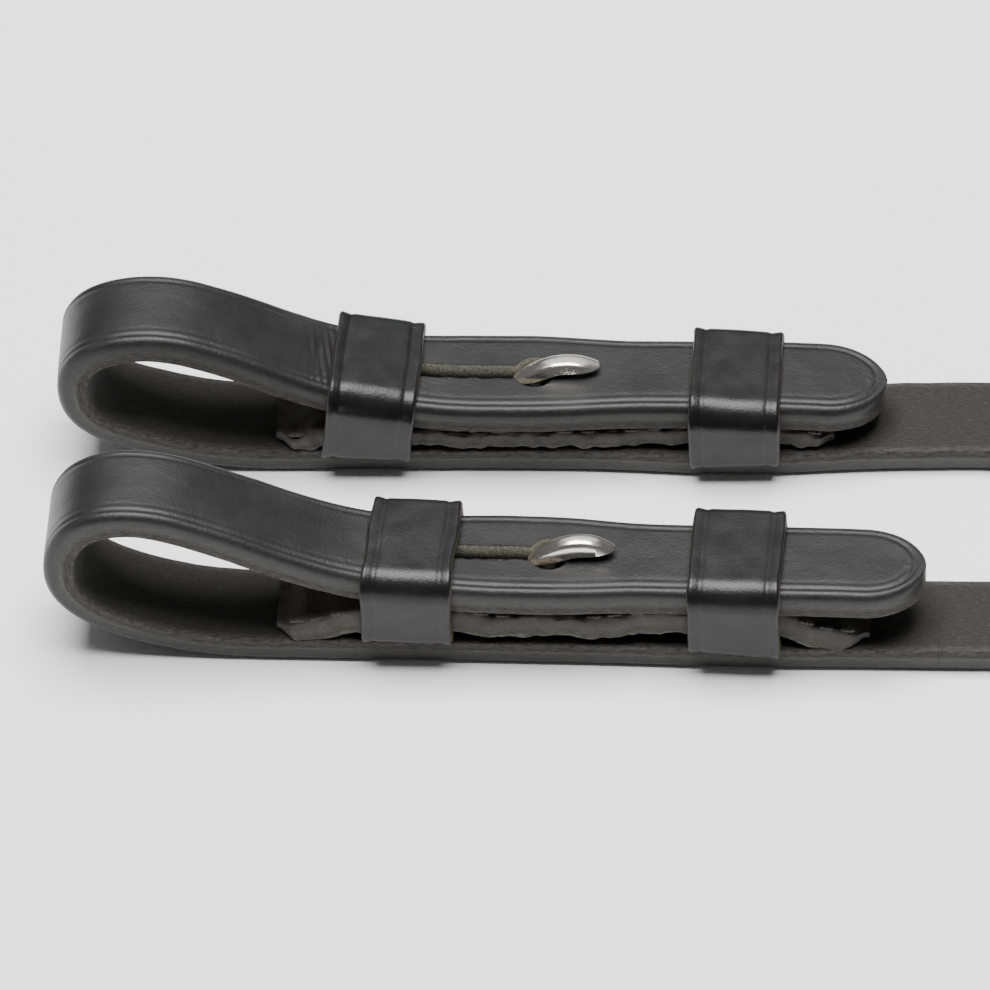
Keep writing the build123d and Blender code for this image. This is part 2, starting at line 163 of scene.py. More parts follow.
def smooth(x: Array, low: float, high: float) -> Array:
    """Rises from 0 at low to 1 at high along 3t squared less 2t cubed."""
    t = np.clip((x - low) / (high - low), 0.0, 1.0)
    return t * t * (3.0 - 2.0 * t)


def bump(x: Array, width: float) -> Array:
    """A bell of height 1: e to the minus square of x over its width."""
    return np.exp(-((x / width) ** 2))


def rumple(x: Array, y: Array | float, pitch: float, seed: float) -> Array:
    """An uneven surface between about -1 and 1: five sine waves that cross each other at odd angles.

    Args:
        x: Places one way, in metres.
        y: Places the other way, or 0 for waves along a line.
        pitch: The longest wave's length.
        seed: A number that shifts the waves, so that two pieces differ.

    Returns:
        The height at each place.
    """
    total = np.zeros(np.broadcast(x, y).shape)
    for k in range(5):
        turn, wave = seed + 2.4 * k, 2 * pi * 1.37**k / pitch
        total = total + np.sin(wave * (x * cos(turn) + y * sin(turn)) + 5.1 * k + 3.3 * seed) / 1.37**k
    return total / 2.4


def put(name: str, data: bpy.types.ID) -> Object:
    """Puts new data into the scene as an object."""
    obj = bpy.data.objects.new(name, data)
    bpy.context.scene.collection.objects.link(obj)
    return obj


def close_up(name: str, mesh: Mesh, merge: bool = False) -> Object:
    """Turns a mesh's faces outward, smooths it up to its sharp edges and puts it into the scene.

    Args:
        name: The object's name.
        mesh: The mesh, which is changed.
        merge: Whether to join points on one place and faces on one plane first.

    Returns:
        The object.
    """
    shell = bmesh.new()
    shell.from_mesh(mesh)
    if merge:
        bmesh.ops.remove_doubles(shell, verts=shell.verts, dist=0.00001)
        bmesh.ops.dissolve_limit(shell, angle_limit=radians(2), verts=shell.verts, edges=shell.edges)
    bmesh.ops.recalc_face_normals(shell, faces=shell.faces)
    shell.to_mesh(mesh)
    shell.free()
    mesh.shade_smooth()
    mesh.set_sharp_from_angle(angle=radians(50))
    return put(name, mesh)


def build_mesh(name: str, points: Array, faces: Sequence[Array], attributes: dict[str, Array]) -> Object:
    """Makes a closed mesh object from whole arrays, with its faces outward.

    Args:
        name: The object's name.
        points: The vertices, one row each.
        faces: Arrays of vertex numbers, one face a row; an array's faces all have as many corners.
        attributes: A value for each vertex under each name.

    Returns:
        The object, linked to the scene.
    """
    mesh = bpy.data.meshes.new(name)
    sizes = np.concatenate([np.full(len(f), f.shape[1]) for f in faces])
    corners = np.concatenate([f.ravel() for f in faces])
    mesh.vertices.add(len(points))
    mesh.vertices.foreach_set("co", np.ascontiguousarray(points, np.float32).ravel())
    mesh.loops.add(len(corners))
    mesh.loops.foreach_set("vertex_index", corners.astype(np.int32))
    mesh.polygons.add(len(sizes))
    mesh.polygons.foreach_set("loop_start", (np.cumsum(sizes) - sizes).astype(np.int32))
    mesh.update(calc_edges=True)
    for key, values in attributes.items():
        layer = mesh.attributes.new(key, "FLOAT", "POINT")
        layer.data.foreach_set("value", np.ascontiguousarray(values, np.float32).ravel())
    return close_up(name, mesh)


def round_faces(here: Array, ahead: Array) -> Array:
    """Four-cornered faces between rows of vertex numbers that close round, and the rows ahead of them."""
    return np.stack([here, np.roll(here, -1, -1), np.roll(ahead, -1, -1), ahead], axis=-1).reshape(-1, 4)


def grid_mesh(name: str, grid: Array, attributes: dict[str, Array], ring: bool = False) -> Object:
    """Skins a grid of points whose columns close round each row.

    Args:
        name: The object's name.
        grid: Points by row and column.
        attributes: Values by row and column under each name.
        ring: Whether the last row joins the first; otherwise a face closes each end.

    Returns:
        The object.
    """
    rows, columns = grid.shape[:2]
    number = np.arange(rows * columns).reshape(rows, columns)
    if ring:
        faces = [round_faces(number, np.roll(number, -1, axis=0))]
    else:
        faces = [round_faces(number[:-1], number[1:]), number[:1, ::-1], number[-1:]]
    return build_mesh(name, grid.reshape(-1, 3), faces, attributes)


def carve(obj: Object, walls: Material, outline: Array, low: Array, high: Array) -> None:
    """Cuts a prism out of a mesh.

    Args:
        obj: The mesh that is cut.
        walls: The finish of the new walls.
        outline: The prism's outline, one point a row.
        low: What is added to the outline at one end.
        high: What is added to it at the other end.
    """
    cutter = grid_mesh("cutter", np.stack([outline + low, outline + high]), {})
    cutter.data.materials.append(walls)
    obj.data.materials.append(walls)
    cut = obj.modifiers.new("cut", "BOOLEAN")
    cut.operation = "DIFFERENCE"
    cut.solver = "EXACT"
    cut.object = cutter
    cut.material_mode = "TRANSFER"
    result = bpy.data.meshes.new_from_object(obj.evaluated_get(bpy.context.evaluated_depsgraph_get()))
    obj.modifiers.remove(cut)
    old, obj.data = obj.data, result
    bpy.data.meshes.remove(old)
    bpy.data.objects.remove(cutter)


# ---------------------------------------------------------------- finishes


class Pen:
    """Draws a material's nodes with few words."""

    def __init__(self, name: str) -> None:
        """Starts a material with a Principled shader."""
        self.material = bpy.data.materials.new(name)
        self.material.use_nodes = True
        self.tree = self.material.node_tree
        self.shader = self.tree.nodes["Principled BSDF"]

    def set(self, **values: object) -> None:
        """Sets or links the shader's sockets; an underscore in a name is a space."""
        for key, value in values.items():
            self.join(self.shader.inputs[key.replace("_", " ")], value)

    def join(self, socket: NodeSocket, value: object) -> None:
        """Links a socket to a node's output, or sets its value."""
        if isinstance(value, NodeSocket):
            self.tree.links.new(value, socket)
        else:
            socket.default_value = value

    def node(self, kind: str, inputs: dict[object, object] | None = None, **settings: object) -> Node:
        """Adds a node.

        Args:
            kind: The node's type, without its ShaderNode prefix.
            inputs: A value or an output for each input, by name or number.
            settings: The node's own properties.

        Returns:
            The node.
        """
        made = self.tree.nodes.new("ShaderNode" + kind)
        for key, value in settings.items():
            setattr(made, key, value)
        for key, value in (inputs or {}).items():
            self.join(made.inputs[key], value)
        return made

    def attribute(self, name: str) -> NodeSocket:
        """A vertex attribute's value."""
        return self.node("Attribute", attribute_name=name).outputs["Fac"]

    def math(self, operation: str, a: object, b: object = 0.0, clamp: bool = False) -> NodeSocket:
        """One sum on two values."""
        return self.node("Math", {0: a, 1: b}, operation=operation, use_clamp=clamp).outputs[0]

    def span(
        self, value: object, low: float, high: float, to_low: float = 0.0, to_high: float = 1.0
    ) -> NodeSocket:
        """Carries a value from one span to another, clamped."""
        inputs = {0: value, 1: low, 2: high, 3: to_low, 4: to_high}
        return self.node("MapRange", inputs, clamp=True).outputs[0]

    def noise(self, place: NodeSocket, scale: float, detail: float = 3.0, rough: float = 0.55) -> NodeSocket:
        """A noise value at a place."""
        made = self.node("TexNoise", {"Vector": place, "Scale": scale, "Detail": detail, "Roughness": rough})
        return made.outputs[0]

    def blend(self, share: object, a: object, b: object) -> NodeSocket:
        """A colour between two colours."""
        return self.node("Mix", {0: share, 6: a, 7: b}, data_type="RGBA").outputs[2]

    def relief(
        self, height: object, distance: float, strength: float = 1.0, under: object = None
    ) -> NodeSocket:
        """A normal that leans with a height, in metres of full relief."""
        inputs = {"Height": height, "Distance": distance, "Strength": strength}
        if under is not None:
            inputs["Normal"] = under
        return self.node("Bump", inputs).outputs[0]

    def strap_place(self) -> NodeSocket:
        """A place on a strap: along it, across it, and through it by the grain share."""
        depth = self.math("MULTIPLY", self.attribute("grain"), STRAP_T)
        made = self.node("CombineXYZ", {0: self.attribute("along"), 1: self.attribute("across"), 2: depth})
        return made.outputs[0]

    def object_place(self) -> NodeSocket:
        """A place in the object's own metres."""
        return self.node("TexCoord").outputs["Object"]


def tone(*rgb: float) -> Colour:
    """A colour with full alpha."""
    return (*rgb, 1.0)


@dataclass(frozen=True)
class Leather:
    """Black strap leather: a waxed grain side, a rough flesh side and burnished edges between them."""

    name: str
    grain: Colour = tone(0.0072, 0.0071, 0.0072)
    worn: Colour = tone(0.0135, 0.0131, 0.0131)
    flesh: Colour = tone(0.0165, 0.0155, 0.0148)
    fibre: Colour = tone(0.085, 0.082, 0.075)
    gloss: float = 0.42
    pores: float = 0.00006

    def make(self) -> Material:
        """Makes the material from the strap's own attributes."""
        pen = Pen(self.name)
        place = pen.strap_place()
        grain = pen.span(pen.attribute("grain"), 0.35, 0.6)
        cloud = pen.noise(place, 130.0, 4.0)
        fine = pen.noise(place, 2600.0, 3.0, 0.6)
        hair_place = pen.node("Mapping", {"Vector": place, "Scale": (0.25, 1.0, 1.0)}).outputs[0]
        hair = pen.noise(hair_place, 3600.0, 4.0, 0.7)
        speck = pen.span(pen.noise(place, 1700.0, 5.0, 0.8), 0.6, 0.7)
        wax = pen.blend(pen.span(cloud, 0.35, 0.75), self.grain, self.worn)
        raw = pen.blend(pen.span(hair, 0.4, 0.8, 0.0, 0.3), self.flesh, self.fibre)
        raw = pen.blend(pen.math("MULTIPLY", speck, 0.85), raw, self.fibre)
        fuzz = pen.math("MULTIPLY", pen.attribute("fuzz"), pen.span(hair, 0.35, 0.7), clamp=True)
        colour = pen.blend(grain, raw, wax)
        colour = pen.blend(pen.math("MULTIPLY", fuzz, 0.8), colour, self.fibre)
        dull = pen.math("ADD", pen.span(cloud, 0.2, 0.8, -0.05, 0.08), self.gloss)
        matt = pen.math("MAXIMUM", pen.span(grain, 0.0, 1.0, 0.82, 0.0), dull)
        soft = pen.relief(pen.noise(place, 420.0, 2.0), 0.00014, 0.5)
        pore = pen.relief(fine, self.pores, 0.9, soft)
        nap = pen.relief(pen.math("MULTIPLY", hair, pen.math("SUBTRACT", 1.0, grain)), 0.00022, 0.9, pore)
        pen.set(Base_Color=colour, Roughness=matt, Normal=nap, Specular_IOR_Level=0.33)
        pen.set(Sheen_Weight=0.05, Sheen_Roughness=0.5)
        return pen.material


@dataclass(frozen=True)
class KeeperLeather:
    """Glossy black keeper leather, with raw fibre along its cut sides."""

    name: str
    face: Colour = tone(0.0055, 0.0055, 0.0056)
    rubbed: Colour = tone(0.0105, 0.0105, 0.0107)
    raw: Colour = tone(0.1, 0.086, 0.062)
    gloss: float = 0.27

    def make(self) -> Material:
        """Makes the material from the band's own attributes."""
        pen = Pen(self.name)
        place = pen.node(
            "CombineXYZ", {0: pen.attribute("along"), 1: pen.attribute("across"), 2: pen.attribute("grain")}
        ).outputs[0]
        cloud = pen.noise(place, 260.0, 3.0)
        fine = pen.noise(place, 3000.0, 3.0, 0.6)
        cut = pen.math("MULTIPLY", pen.attribute("cut"), pen.span(fine, 0.3, 0.6, 0.35, 1.0), clamp=True)
        face = pen.blend(pen.span(cloud, 0.35, 0.7), self.face, self.rubbed)
        colour = pen.blend(cut, face, self.raw)
        shine = pen.span(cloud, 0.2, 0.8, self.gloss, self.gloss + 0.1)
        rough = pen.math("MAXIMUM", pen.span(cut, 0.0, 1.0, 0.0, 0.85), shine)
        grain = pen.relief(fine, 0.00005, 0.8, pen.relief(cloud, 0.00012, 0.6))
        pen.set(Base_Color=colour, Roughness=rough, Normal=grain, Specular_IOR_Level=0.3)
        return pen.material


@dataclass(frozen=True)
class CutFibre:
    """The fuzzy inside of a cut or punched hole."""

    name: str
    dark: Colour = tone(0.035, 0.033, 0.025)
    pale: Colour = tone(0.19, 0.18, 0.14)

    def make(self) -> Material:
        """Makes the material on object coordinates."""
        pen = Pen(self.name)
        hair = pen.noise(pen.object_place(), 3800.0, 5.0, 0.75)
        pen.set(
            Base_Color=pen.blend(pen.span(hair, 0.35, 0.65), self.dark, self.pale),
            Roughness=0.95,
            Normal=pen.relief(hair, 0.0003, 1.0),
        )
        return pen.material


@dataclass(frozen=True)
class Steel:
    """Polished stainless steel with faint buffing marks."""

    name: str
    colour: Colour = tone(0.86, 0.82, 0.76)
    gloss: float = 0.2

    def make(self) -> Material:
        """Makes the material on object coordinates."""
        pen = Pen(self.name)
        place = pen.node("Mapping", {"Vector": pen.object_place(), "Scale": (0.15, 1.0, 1.0)}).outputs[0]
        buff = pen.noise(place, 2500.0, 3.0)
        pen.set(
            Base_Color=self.colour,
            Metallic=1.0,
            Roughness=pen.span(buff, 0.3, 0.7, self.gloss - 0.03, self.gloss + 0.08),
            Normal=pen.relief(buff, 0.00001, 0.15),
        )
        return pen.material


@dataclass(frozen=True)
class Thread:
    """Waxed linen thread, twisted, in a shape whose attribute along runs with it."""

    name: str
    colour: Colour = tone(0.014, 0.012, 0.012)
    light: Colour = tone(0.05, 0.045, 0.042)

    def make(self) -> Material:
        """Makes the material: a twill of bands that wind round the thread."""
        pen = Pen(self.name)
        forward = pen.math("MULTIPLY", pen.attribute("along"), 9000.0)
        ply = pen.math("SINE", pen.math("ADD", forward, pen.math("MULTIPLY", pen.attribute("across"), 6.283)))
        hair = pen.noise(pen.object_place(), 5000.0, 3.0)
        pen.set(
            Base_Color=pen.blend(pen.span(hair, 0.4, 0.75), self.colour, self.light),
            Roughness=0.6,
            Normal=pen.relief(ply, 0.00005, 0.8),
        )
        return pen.material


@dataclass(frozen=True)
class Paper:
    """The plain pale floor."""

    name: str
    colour: Colour = tone(0.94, 0.94, 0.94)

    def make(self) -> Material:
        """Makes an even matt material."""
        pen = Pen(self.name)
        pen.set(Base_Color=self.colour, Roughness=0.9)
        return pen.material


class Finishes:
    """Every finish, made once and shared."""

    def __init__(self) -> None:
        """Makes the materials."""
        self.strap = Leather("bridle_leather").make()
        self.tab = Leather(
            "tab_leather",
            grain=tone(0.02, 0.0185, 0.0155),
            worn=tone(0.045, 0.042, 0.034),
            flesh=tone(0.022, 0.0205, 0.017),
            fibre=tone(0.12, 0.112, 0.09),
            gloss=0.62,
            pores=0.00012,
        ).make()
        self.keeper = KeeperLeather("keeper_leather").make()
        self.lace = KeeperLeather("lace_leather", gloss=0.5, face=tone(0.02, 0.019, 0.018)).make()
        self.fibre = CutFibre("cut_fibre").make()
        self.steel = Steel("polished_steel").make()
        # painted shade: a dark steel colour stands for the shade on the stud's neck down in the keyhole; it
        # is also rougher than the polished steel
        self.dull_painted_shade_steel = Steel("dull_painted_shade_steel", colour=tone(0.16, 0.15, 0.14), gloss=0.35).make()
        self.thread = Thread("black_thread").make()


def dress(obj: Object, material: Material, slot: str, *nodes: str, body: str = BODY) -> Object:
    """Gives a piece its finish, its body and the CAD nodes it stands for.

    Args:
        obj: The piece.
        material: Its finish.
        slot: The record's material slot; not used.
        nodes: The CAD nodes that it replaces.
        body: The CAD body that it rides on.

    Returns:
        The same piece.
    """
    if not obj.data.materials:
        obj.data.materials.append(material)
    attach(obj, body)
    if nodes:
        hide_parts(*nodes)
    log.info("%s: %d faces on %s", obj.name, len(obj.data.polygons), body)
    return obj


# ---------------------------------------------------------------- straps


@dataclass(frozen=True)
class Section:
    """A cross-section: places across and towards the grain, and the shares of grain, cut edge and fuzz."""

    across: Array
    height: Array
    grain: Array
    cut: Array
    fuzz: Array

    @property
    def face(self) -> Array:
        """Which places are on the grain face, as a row."""
        return (self.height > self.height.max() - SKIN)[None, :]


def crease(to_edge: Array) -> Array:
    """The crease's relief: a bell at its inset from the outline."""
    return -CREASE_DEPTH * bump(to_edge - CREASE_INSET, CREASE_W)


def strap_section(
    width: float, thickness: float, soft: float = 1.25 * MM, sharp: float = 0.35 * MM
) -> Section:
    """A strap's cross-section: flat faces, with wider round corners on the grain side than on the flesh side.

    Args:
        width: From edge to edge.
        thickness: From flesh to grain.
        soft: The radius of the grain side's corners.
        sharp: The radius of the flesh side's corners.

    Returns:
        The section, which starts on the grain side.
    """
    half, top = width / 2, thickness / 2
    quarter = np.linspace(0.0, pi / 2, 7)
    upper = np.stack([half - soft + soft * np.sin(quarter), top - soft + soft * np.cos(quarter)])
    lower = np.stack([half - sharp + sharp * np.cos(quarter), sharp - top - sharp * np.sin(quarter)])
    edge = np.concatenate([upper[:, 1:], lower], axis=1)
    face = np.linspace(soft - half, half - soft, 47)
    back = np.linspace(half - sharp, sharp - half, 15)[1:-1]
    across = np.concatenate([face, edge[0], back, -edge[0][::-1]])
    height = np.concatenate([np.full(face.size, top), edge[1], np.full(back.size, -top), edge[1][::-1]])
    level = (height + top) / thickness
    on_edge = smooth(np.abs(across), half - soft, half - 0.3 * soft)
    fuzz = on_edge * bump(height + top - 0.25 * MM, 0.45 * MM) + on_edge * 0.12
    return Section(across, height, smooth(level, 0.12, 0.5), on_edge, fuzz)


@dataclass(frozen=True)
class StrapLine:
    """A strap's middle line, with the ways across it and towards its grain at each point."""

    points: Array
    along: Array
    across: Array
    grain: Array


def narrowed(across: Array, narrow: Array) -> Array:
    """Narrows a section row by row: the outer 3 mm of each edge keeps its shape and the middle is squeezed.

    Args:
        across: The section's places across the strap.
        narrow: Half the strap's width in each row.

    Returns:
        The places across, by row and column.
    """
    half, rim, wide = np.abs(across).max(), 3.0 * MM, narrow[:, None]
    inset, zone = half - np.abs(across)[None, :], np.minimum(rim, wide)
    inside = np.abs(across)[None, :] / (half - rim) * (wide - zone)
    return np.sign(across)[None, :] * np.where(inset < rim, wide - inset * zone / rim, inside)


def carry_section(
    name: str,
    line: StrapLine,
    section: Section,
    narrow: Array | None = None,
    relief: Array | None = None,
    thin: Array | None = None,
    slip: Array | None = None,
) -> Object:
    """Carries a section along a line: each point is the line's point plus its two places times the two ways.

    Args:
        name: The object's name.
        line: The strap's line.
        section: Its cross-section.
        narrow: Half the strap's width at each point, where it changes.
        relief: How far each point, by row and column, moves towards the grain.
        thin: The thickness as a share of the section's, at each point.
        slip: How far each row moves across.

    Returns:
        The strap.
    """
    rows = len(line.points)
    across = np.tile(section.across, (rows, 1))
    height = np.tile(section.height, (rows, 1))
    if narrow is not None:
        across = narrowed(section.across, narrow)
    if thin is not None:
        height = height * thin[:, None]
    if relief is not None:
        height = height + relief
    if slip is not None:
        across = across + slip[:, None]
    sideways, outward = across[..., None] * line.across[:, None], height[..., None] * line.grain[:, None]
    grid = line.points[:, None] + sideways + outward
    values = {"along": np.tile(line.along[:, None], (1, section.across.size))}
    for key in ("across", "grain", "cut", "fuzz"):
        values[key] = np.tile(getattr(section, key), (rows, 1))
    return grid_mesh(name, grid, values)


# ---------------------------------------------------------------- the bit ends


class KeeperShape(NamedTuple):
    """A bit-end keeper in millimetres: its middle, its width, and its outside heights at its two ends."""

    middle: float
    width: float
    low_at_loop: float
    high_at_loop: float
    low_at_hand: float
    high_at_hand: float


@dataclass
class BitEnd:
    """One rein's bit end: strap, tab, stud, stitches and keepers, set out along the rein from its middle."""

    side: Side
    finishes: Finishes
    across: float
    splay: float
    route: tuple[tuple[float, float], ...]
    tab_route: tuple[tuple[float, float], ...]
    tip_length: float
    stud: float
    crown: float
    hook_rise: float
    tab_swell: float
    sway: float
    front: KeeperShape
    rear: KeeperShape
    front_lean: float
    wrinkles: tuple[float, ...]
    seed: float

    def place(self, along: Array, across: Array | float, height: Array | float) -> Array:
        """Turns places along, across and above this rein into the frame's metres."""
        turn = radians(self.splay)
        x = along * cos(turn) - across * sin(turn)
        y = self.across + along * sin(turn) + across * cos(turn)
        return np.stack(np.broadcast_arrays(x, y, height), axis=-1)

    def line(self, route: Sequence[tuple[float, float]], step: float) -> StrapLine:
        """Reads a line in this rein's side plane, with its grain on the left as it runs.

        Args:
            route: The control points, along the rein and above the ground, in millimetres.
            step: The distance between two points.

        Returns:
            The line in the frame.
        """
        flat, along = spaced(read_line([(x * MM, 0.0, z * MM) for x, z in route]), step)
        way = unit(np.gradient(flat, axis=0))
        turn = radians(self.splay)
        heading, sideways = np.array([cos(turn), sin(turn), 0.0]), np.array([-sin(turn), cos(turn), 0.0])
        grain = -way[:, 2:3] * heading + way[:, :1] * np.array([0.0, 0.0, 1.0])
        points = self.place(flat[:, 0], 0.0, flat[:, 2])
        return StrapLine(points, along, np.tile(sideways, (len(points), 1)), grain)

    def billet_width(self, x: Array, on_top: Array) -> Array:
        """Half the strap's width: the billet spreads round its keyhole, and a little from the loop on.

        Args:
            x: Each row's place along the rein.
            on_top: Whether it is on the billet.

        Returns:
            Half the width of each row.
        """
        stud, keeper = self.stud * MM, self.front.middle * MM
        spread = smooth(x, keeper - 6.0 * MM, stud - 6.0 * MM)
        spread = spread * (1.0 - smooth(x, stud - 2.0 * MM, stud + 15.0 * MM))
        loop_spread = smooth(x, -45.0 * MM, -20.0 * MM)
        return STRAP_W / 2 + on_top * (0.15 * MM * loop_spread + 0.85 * MM * spread)

    def wrinkling(self, line: StrapLine, across: Array, to_edge: Array, on_top: Array) -> Array:
        """The wrinkles by the front keeper: wavy furrows across the billet, shallower the further they are.

        Args:
            line: The strap's line.
            across: Places across the strap, by row and column.
            to_edge: How far each place is from the outline.
            on_top: Which places are on the billet's grain face.

        Returns:
            The relief.
        """
        relief = np.zeros_like(across)
        for k, spot in enumerate(self.wrinkles):
            lean = 0.22 * MM * np.sin(across / (1.9 * MM) + 1.7 * k) - 0.09 * across
            fade = smooth(-across, -7.0 * MM, -1.0 * MM) * smooth(to_edge, 0.0, 1.4 * MM) * (1.0 - 0.14 * k)
            furrow = bump(line.points[:, 0:1] - spot * MM - lean, 0.22 * MM)
            relief = relief - 0.15 * MM * furrow * on_top * fade
        return relief

    def strap(self) -> Object:
        """Makes the strap: from the free rein round the loop and back as the billet.

        The tip is half an ellipse in plan. A crease follows the outline, with a fainter second line on the
        near side. Both faces are a little uneven.
        """
        line = self.line(self.route, STRAP_STEP)
        section = strap_section(STRAP_W, STRAP_T)
        reach = self.tip_length
        past = line.along - (line.along[-1] - reach)
        share = np.clip(past / reach, 0.0, 0.9995)
        x, face = line.points[:, 0], section.face
        full = self.billet_width(x, line.grain[:, 2] > 0.0)
        narrow = full * np.sqrt(1.0 - share**2)
        across = narrowed(section.across, narrow)
        ahead, full = np.maximum(past, 0.0)[:, None], full[:, None]
        round_share = np.sqrt((ahead / reach) ** 2 + (across / full) ** 2) + 1e-6
        slope = np.sqrt((ahead / reach**2) ** 2 + (across / full**2) ** 2) + 1e-3
        to_edge = (1.0 - round_share) * round_share / slope
        near = smooth(-section.across, 0.5 * MM, 2.0 * MM)[None, :]
        relief = (crease(to_edge) - 0.05 * MM * bump(to_edge - 2.6 * MM, 0.3 * MM) * near) * face
        along, grain = line.along[:, None], section.grain[None, :]
        relief = relief + 0.05 * MM * rumple(along, across, 17.0 * MM, self.seed) * grain
        relief = relief + 0.07 * MM * rumple(along, across, 9.0 * MM, self.seed + 1.0) * (1.0 - grain)
        relief = relief + self.wrinkling(line, across, to_edge, (line.grain[:, 2:3] > 0.5) * face)
        slip = self.sway * bump(x - self.rear.middle * MM, 15.0 * MM) * (line.grain[:, 2] < 0.0)
        strap = carry_section(f"{self.side.word}_strap", line, section, narrow, relief, None, slip)
        strap.data.materials.append(self.finishes.strap)
        low, high = self.crown - STRAP_T - 0.6 * MM, self.crown + 6.0 * MM
        carve(strap, self.finishes.fibre, self.keyhole(), np.array([0, 0, low]), np.array([0, 0, high]))
        return dress(strap, self.finishes.strap, "rein_leather", f"{self.side.word}_bit_end_strap")

    def keyhole(self) -> Array:
        """The keyhole's outline: a round hole and a slit towards the loop, with uneven sides."""
        start = np.arcsin(SLIT_HALF_W / HOLE_R)
        arc = np.linspace(start - pi, pi - start, 40)
        hole = np.stack([HOLE_R * np.cos(arc), HOLE_R * np.sin(arc)], axis=-1)
        run = np.linspace(-HOLE_R * cos(start) - 0.4 * MM, -SLIT_LENGTH, 50)
        opening = smooth(run, -SLIT_LENGTH, SLIT_END - SLIT_LENGTH)
        side = 0.05 * MM + SLIT_HALF_W * opening
        ragged = 0.14 * MM * rumple(run, 0.0, 3.0 * MM, self.seed) * opening
        back = np.stack([run, side + 0.5 * ragged], axis=-1)
        forth = np.stack([run, ragged - side], axis=-1)[::-1]
        plan = np.concatenate([hole, back, forth])
        return self.place(self.stud * MM + plan[:, 0], plan[:, 1], 0.0)

    def tab(self) -> Object:
        """Makes the stud tab: a limp middle layer with ragged sides, moved in and out by an uneven wave."""
        line = self.line(self.tab_route, TAB_STEP)
        section = strap_section(STRAP_W + 0.3 * MM, TAB_T, 0.6 * MM, 0.6 * MM)
        rim = smooth(np.abs(section.across), 3.6 * MM, 6.5 * MM)[None, :]
        along, level = line.along[:, None], section.height[None, :]
        from_end = np.minimum(line.along, line.along[-1] - line.along)
        ragged = rumple(along, level * 4.0, 4.6 * MM, self.seed + 4.0) * rim
        relief = 0.3 * MM * ragged
        relief = relief + 0.16 * MM * rumple(along, section.across[None, :], 9.0 * MM, self.seed + 2.0)
        slip = 0.22 * MM * rumple(line.along, 0.0, 8.0 * MM, self.seed + 6.0)
        chewed = 0.2 * MM * rumple(line.along, 0.0, 4.4 * MM, self.seed + 8.0)
        narrow = STRAP_W / 2 + chewed - 1.6 * MM * (1.0 - smooth(from_end, 0.0, 2.6 * MM))
        thin = 0.6 + (self.tab_swell - 0.6) * smooth(from_end, 0.0, 5.0 * MM)
        tab = carry_section(f"{self.side.word}_tab", line, section, narrow, relief, thin, slip)
        return dress(tab, self.finishes.tab, "tab_leather", f"{self.side.word}_stud_tab")

    def hook(self) -> Object:
        """Makes the hook stud's crescent and neck.

        Along the crescent, from its back to its point, the top follows part of a sine and the underside rises
        out of the hole, and both ends close as an ellipse. Each section is a narrow facet over sloping sides.
        """
        word = self.side.word
        t = 0.5 - 0.5 * np.cos(np.linspace(0.0, pi, 70))
        along = HOOK_BACK + HOOK_REACH * t
        top = self.crown - 0.8 * MM * (1.0 - t) ** 2 + self.hook_rise * np.sin(pi * (0.05 + 0.80 * t))
        low = self.crown - 1.2 * MM + 2.0 * MM * smooth(t, 0.05, 0.6) + 0.1 * MM * t
        horn = np.sqrt(np.clip(1.0 - np.maximum(1.0 - t / 0.36, 0.0) ** 2, 0.0, 1.0))
        point = np.sqrt(np.clip(1.0 - np.maximum((t - 0.72) / 0.281, 0.0) ** 2, 0.0, 1.0))
        middle = low + 0.5 * (top - low)
        closing = horn * point
        top, low = middle + (top - middle) * closing, middle + (low - middle) * closing
        taper = horn**0.8 * (0.12 + 0.88 * point)
        wide, facet = HOOK_HALF_W * taper[:, None], FACET_HALF_W * taper[:, None]
        right = [(0.7, 1.0), (1.0, 0.93), (1.28, 0.75), (1.75, 0.12), (1.6, 0.0)]
        left = [(-across, up) for across, up in right]
        profile = np.array([left[0], *right, *left[:0:-1]])
        flank = np.clip((np.abs(profile[:, 0]) / 1.75 - 0.4) / 0.6, 0.0, 1.0)
        across = np.sign(profile[:, 0]) * (facet + flank * (wide - facet))
        height = low[:, None] + profile[:, 1] * (top - low)[:, None]
        turn = radians(HOOK_TURN)
        x = self.stud * MM + along[:, None] * cos(turn) - across * sin(turn)
        y = along[:, None] * sin(turn) + across * cos(turn)
        hook = grid_mesh(f"{word}_hook", self.place(x, y, height), {})
        dress(hook, self.finishes.steel, "polished_steel", f"{word}_hook_stud")
        ring = np.linspace(0.0, 2 * pi, 48, endpoint=False)
        rows = ((0.2, -6.4), (1.4, -6.4), (1.45, -6.3), (1.45, -2.2), (1.3, -1.3), (1.0, -0.9), (0.2, -0.8))
        radius, level = (np.array(rows) * MM).T[..., None]
        x, y = self.stud * MM + radius * np.cos(ring), radius * np.sin(ring)
        neck = grid_mesh(f"{word}_stud_neck", self.place(x, y, self.crown + level), {})
        # painted shade: the neck takes the dark steel colour that stands for the shade in the keyhole
        dress(neck, self.finishes.dull_painted_shade_steel, "polished_steel")
        return hook

    def stitches(self) -> Object:
        """Makes the tab's stitches where it is sewn down, a row along each edge, from the tab's own line."""
        line = self.line(self.tab_route, STITCH_PITCH)
        heading = unit(np.gradient(line.points, axis=0))
        x = line.points[:, 0]
        clear = np.abs(x - self.stud * MM) > STUD_CLEAR
        for keeper in (self.front, self.rear):
            clear &= np.abs(x - keeper.middle * MM) > KEEPER_CLEAR
        clear[[0, -1]] = False
        lifted = line.points + line.grain * (self.tab_swell * TAB_T / 2)
        spots = np.concatenate([(lifted + line.across * edge * 6.0 * MM)[clear] for edge in (-1, 1)])
        ways = np.tile(heading[clear], (2, 1))
        sewing = stitch_row(f"{self.side.word}_tab_thread", spots, ways, 2.3 * MM, 0.62 * MM)
        return dress(sewing, self.finishes.thread, "black_thread", f"{self.side.word}_tab_stitching")

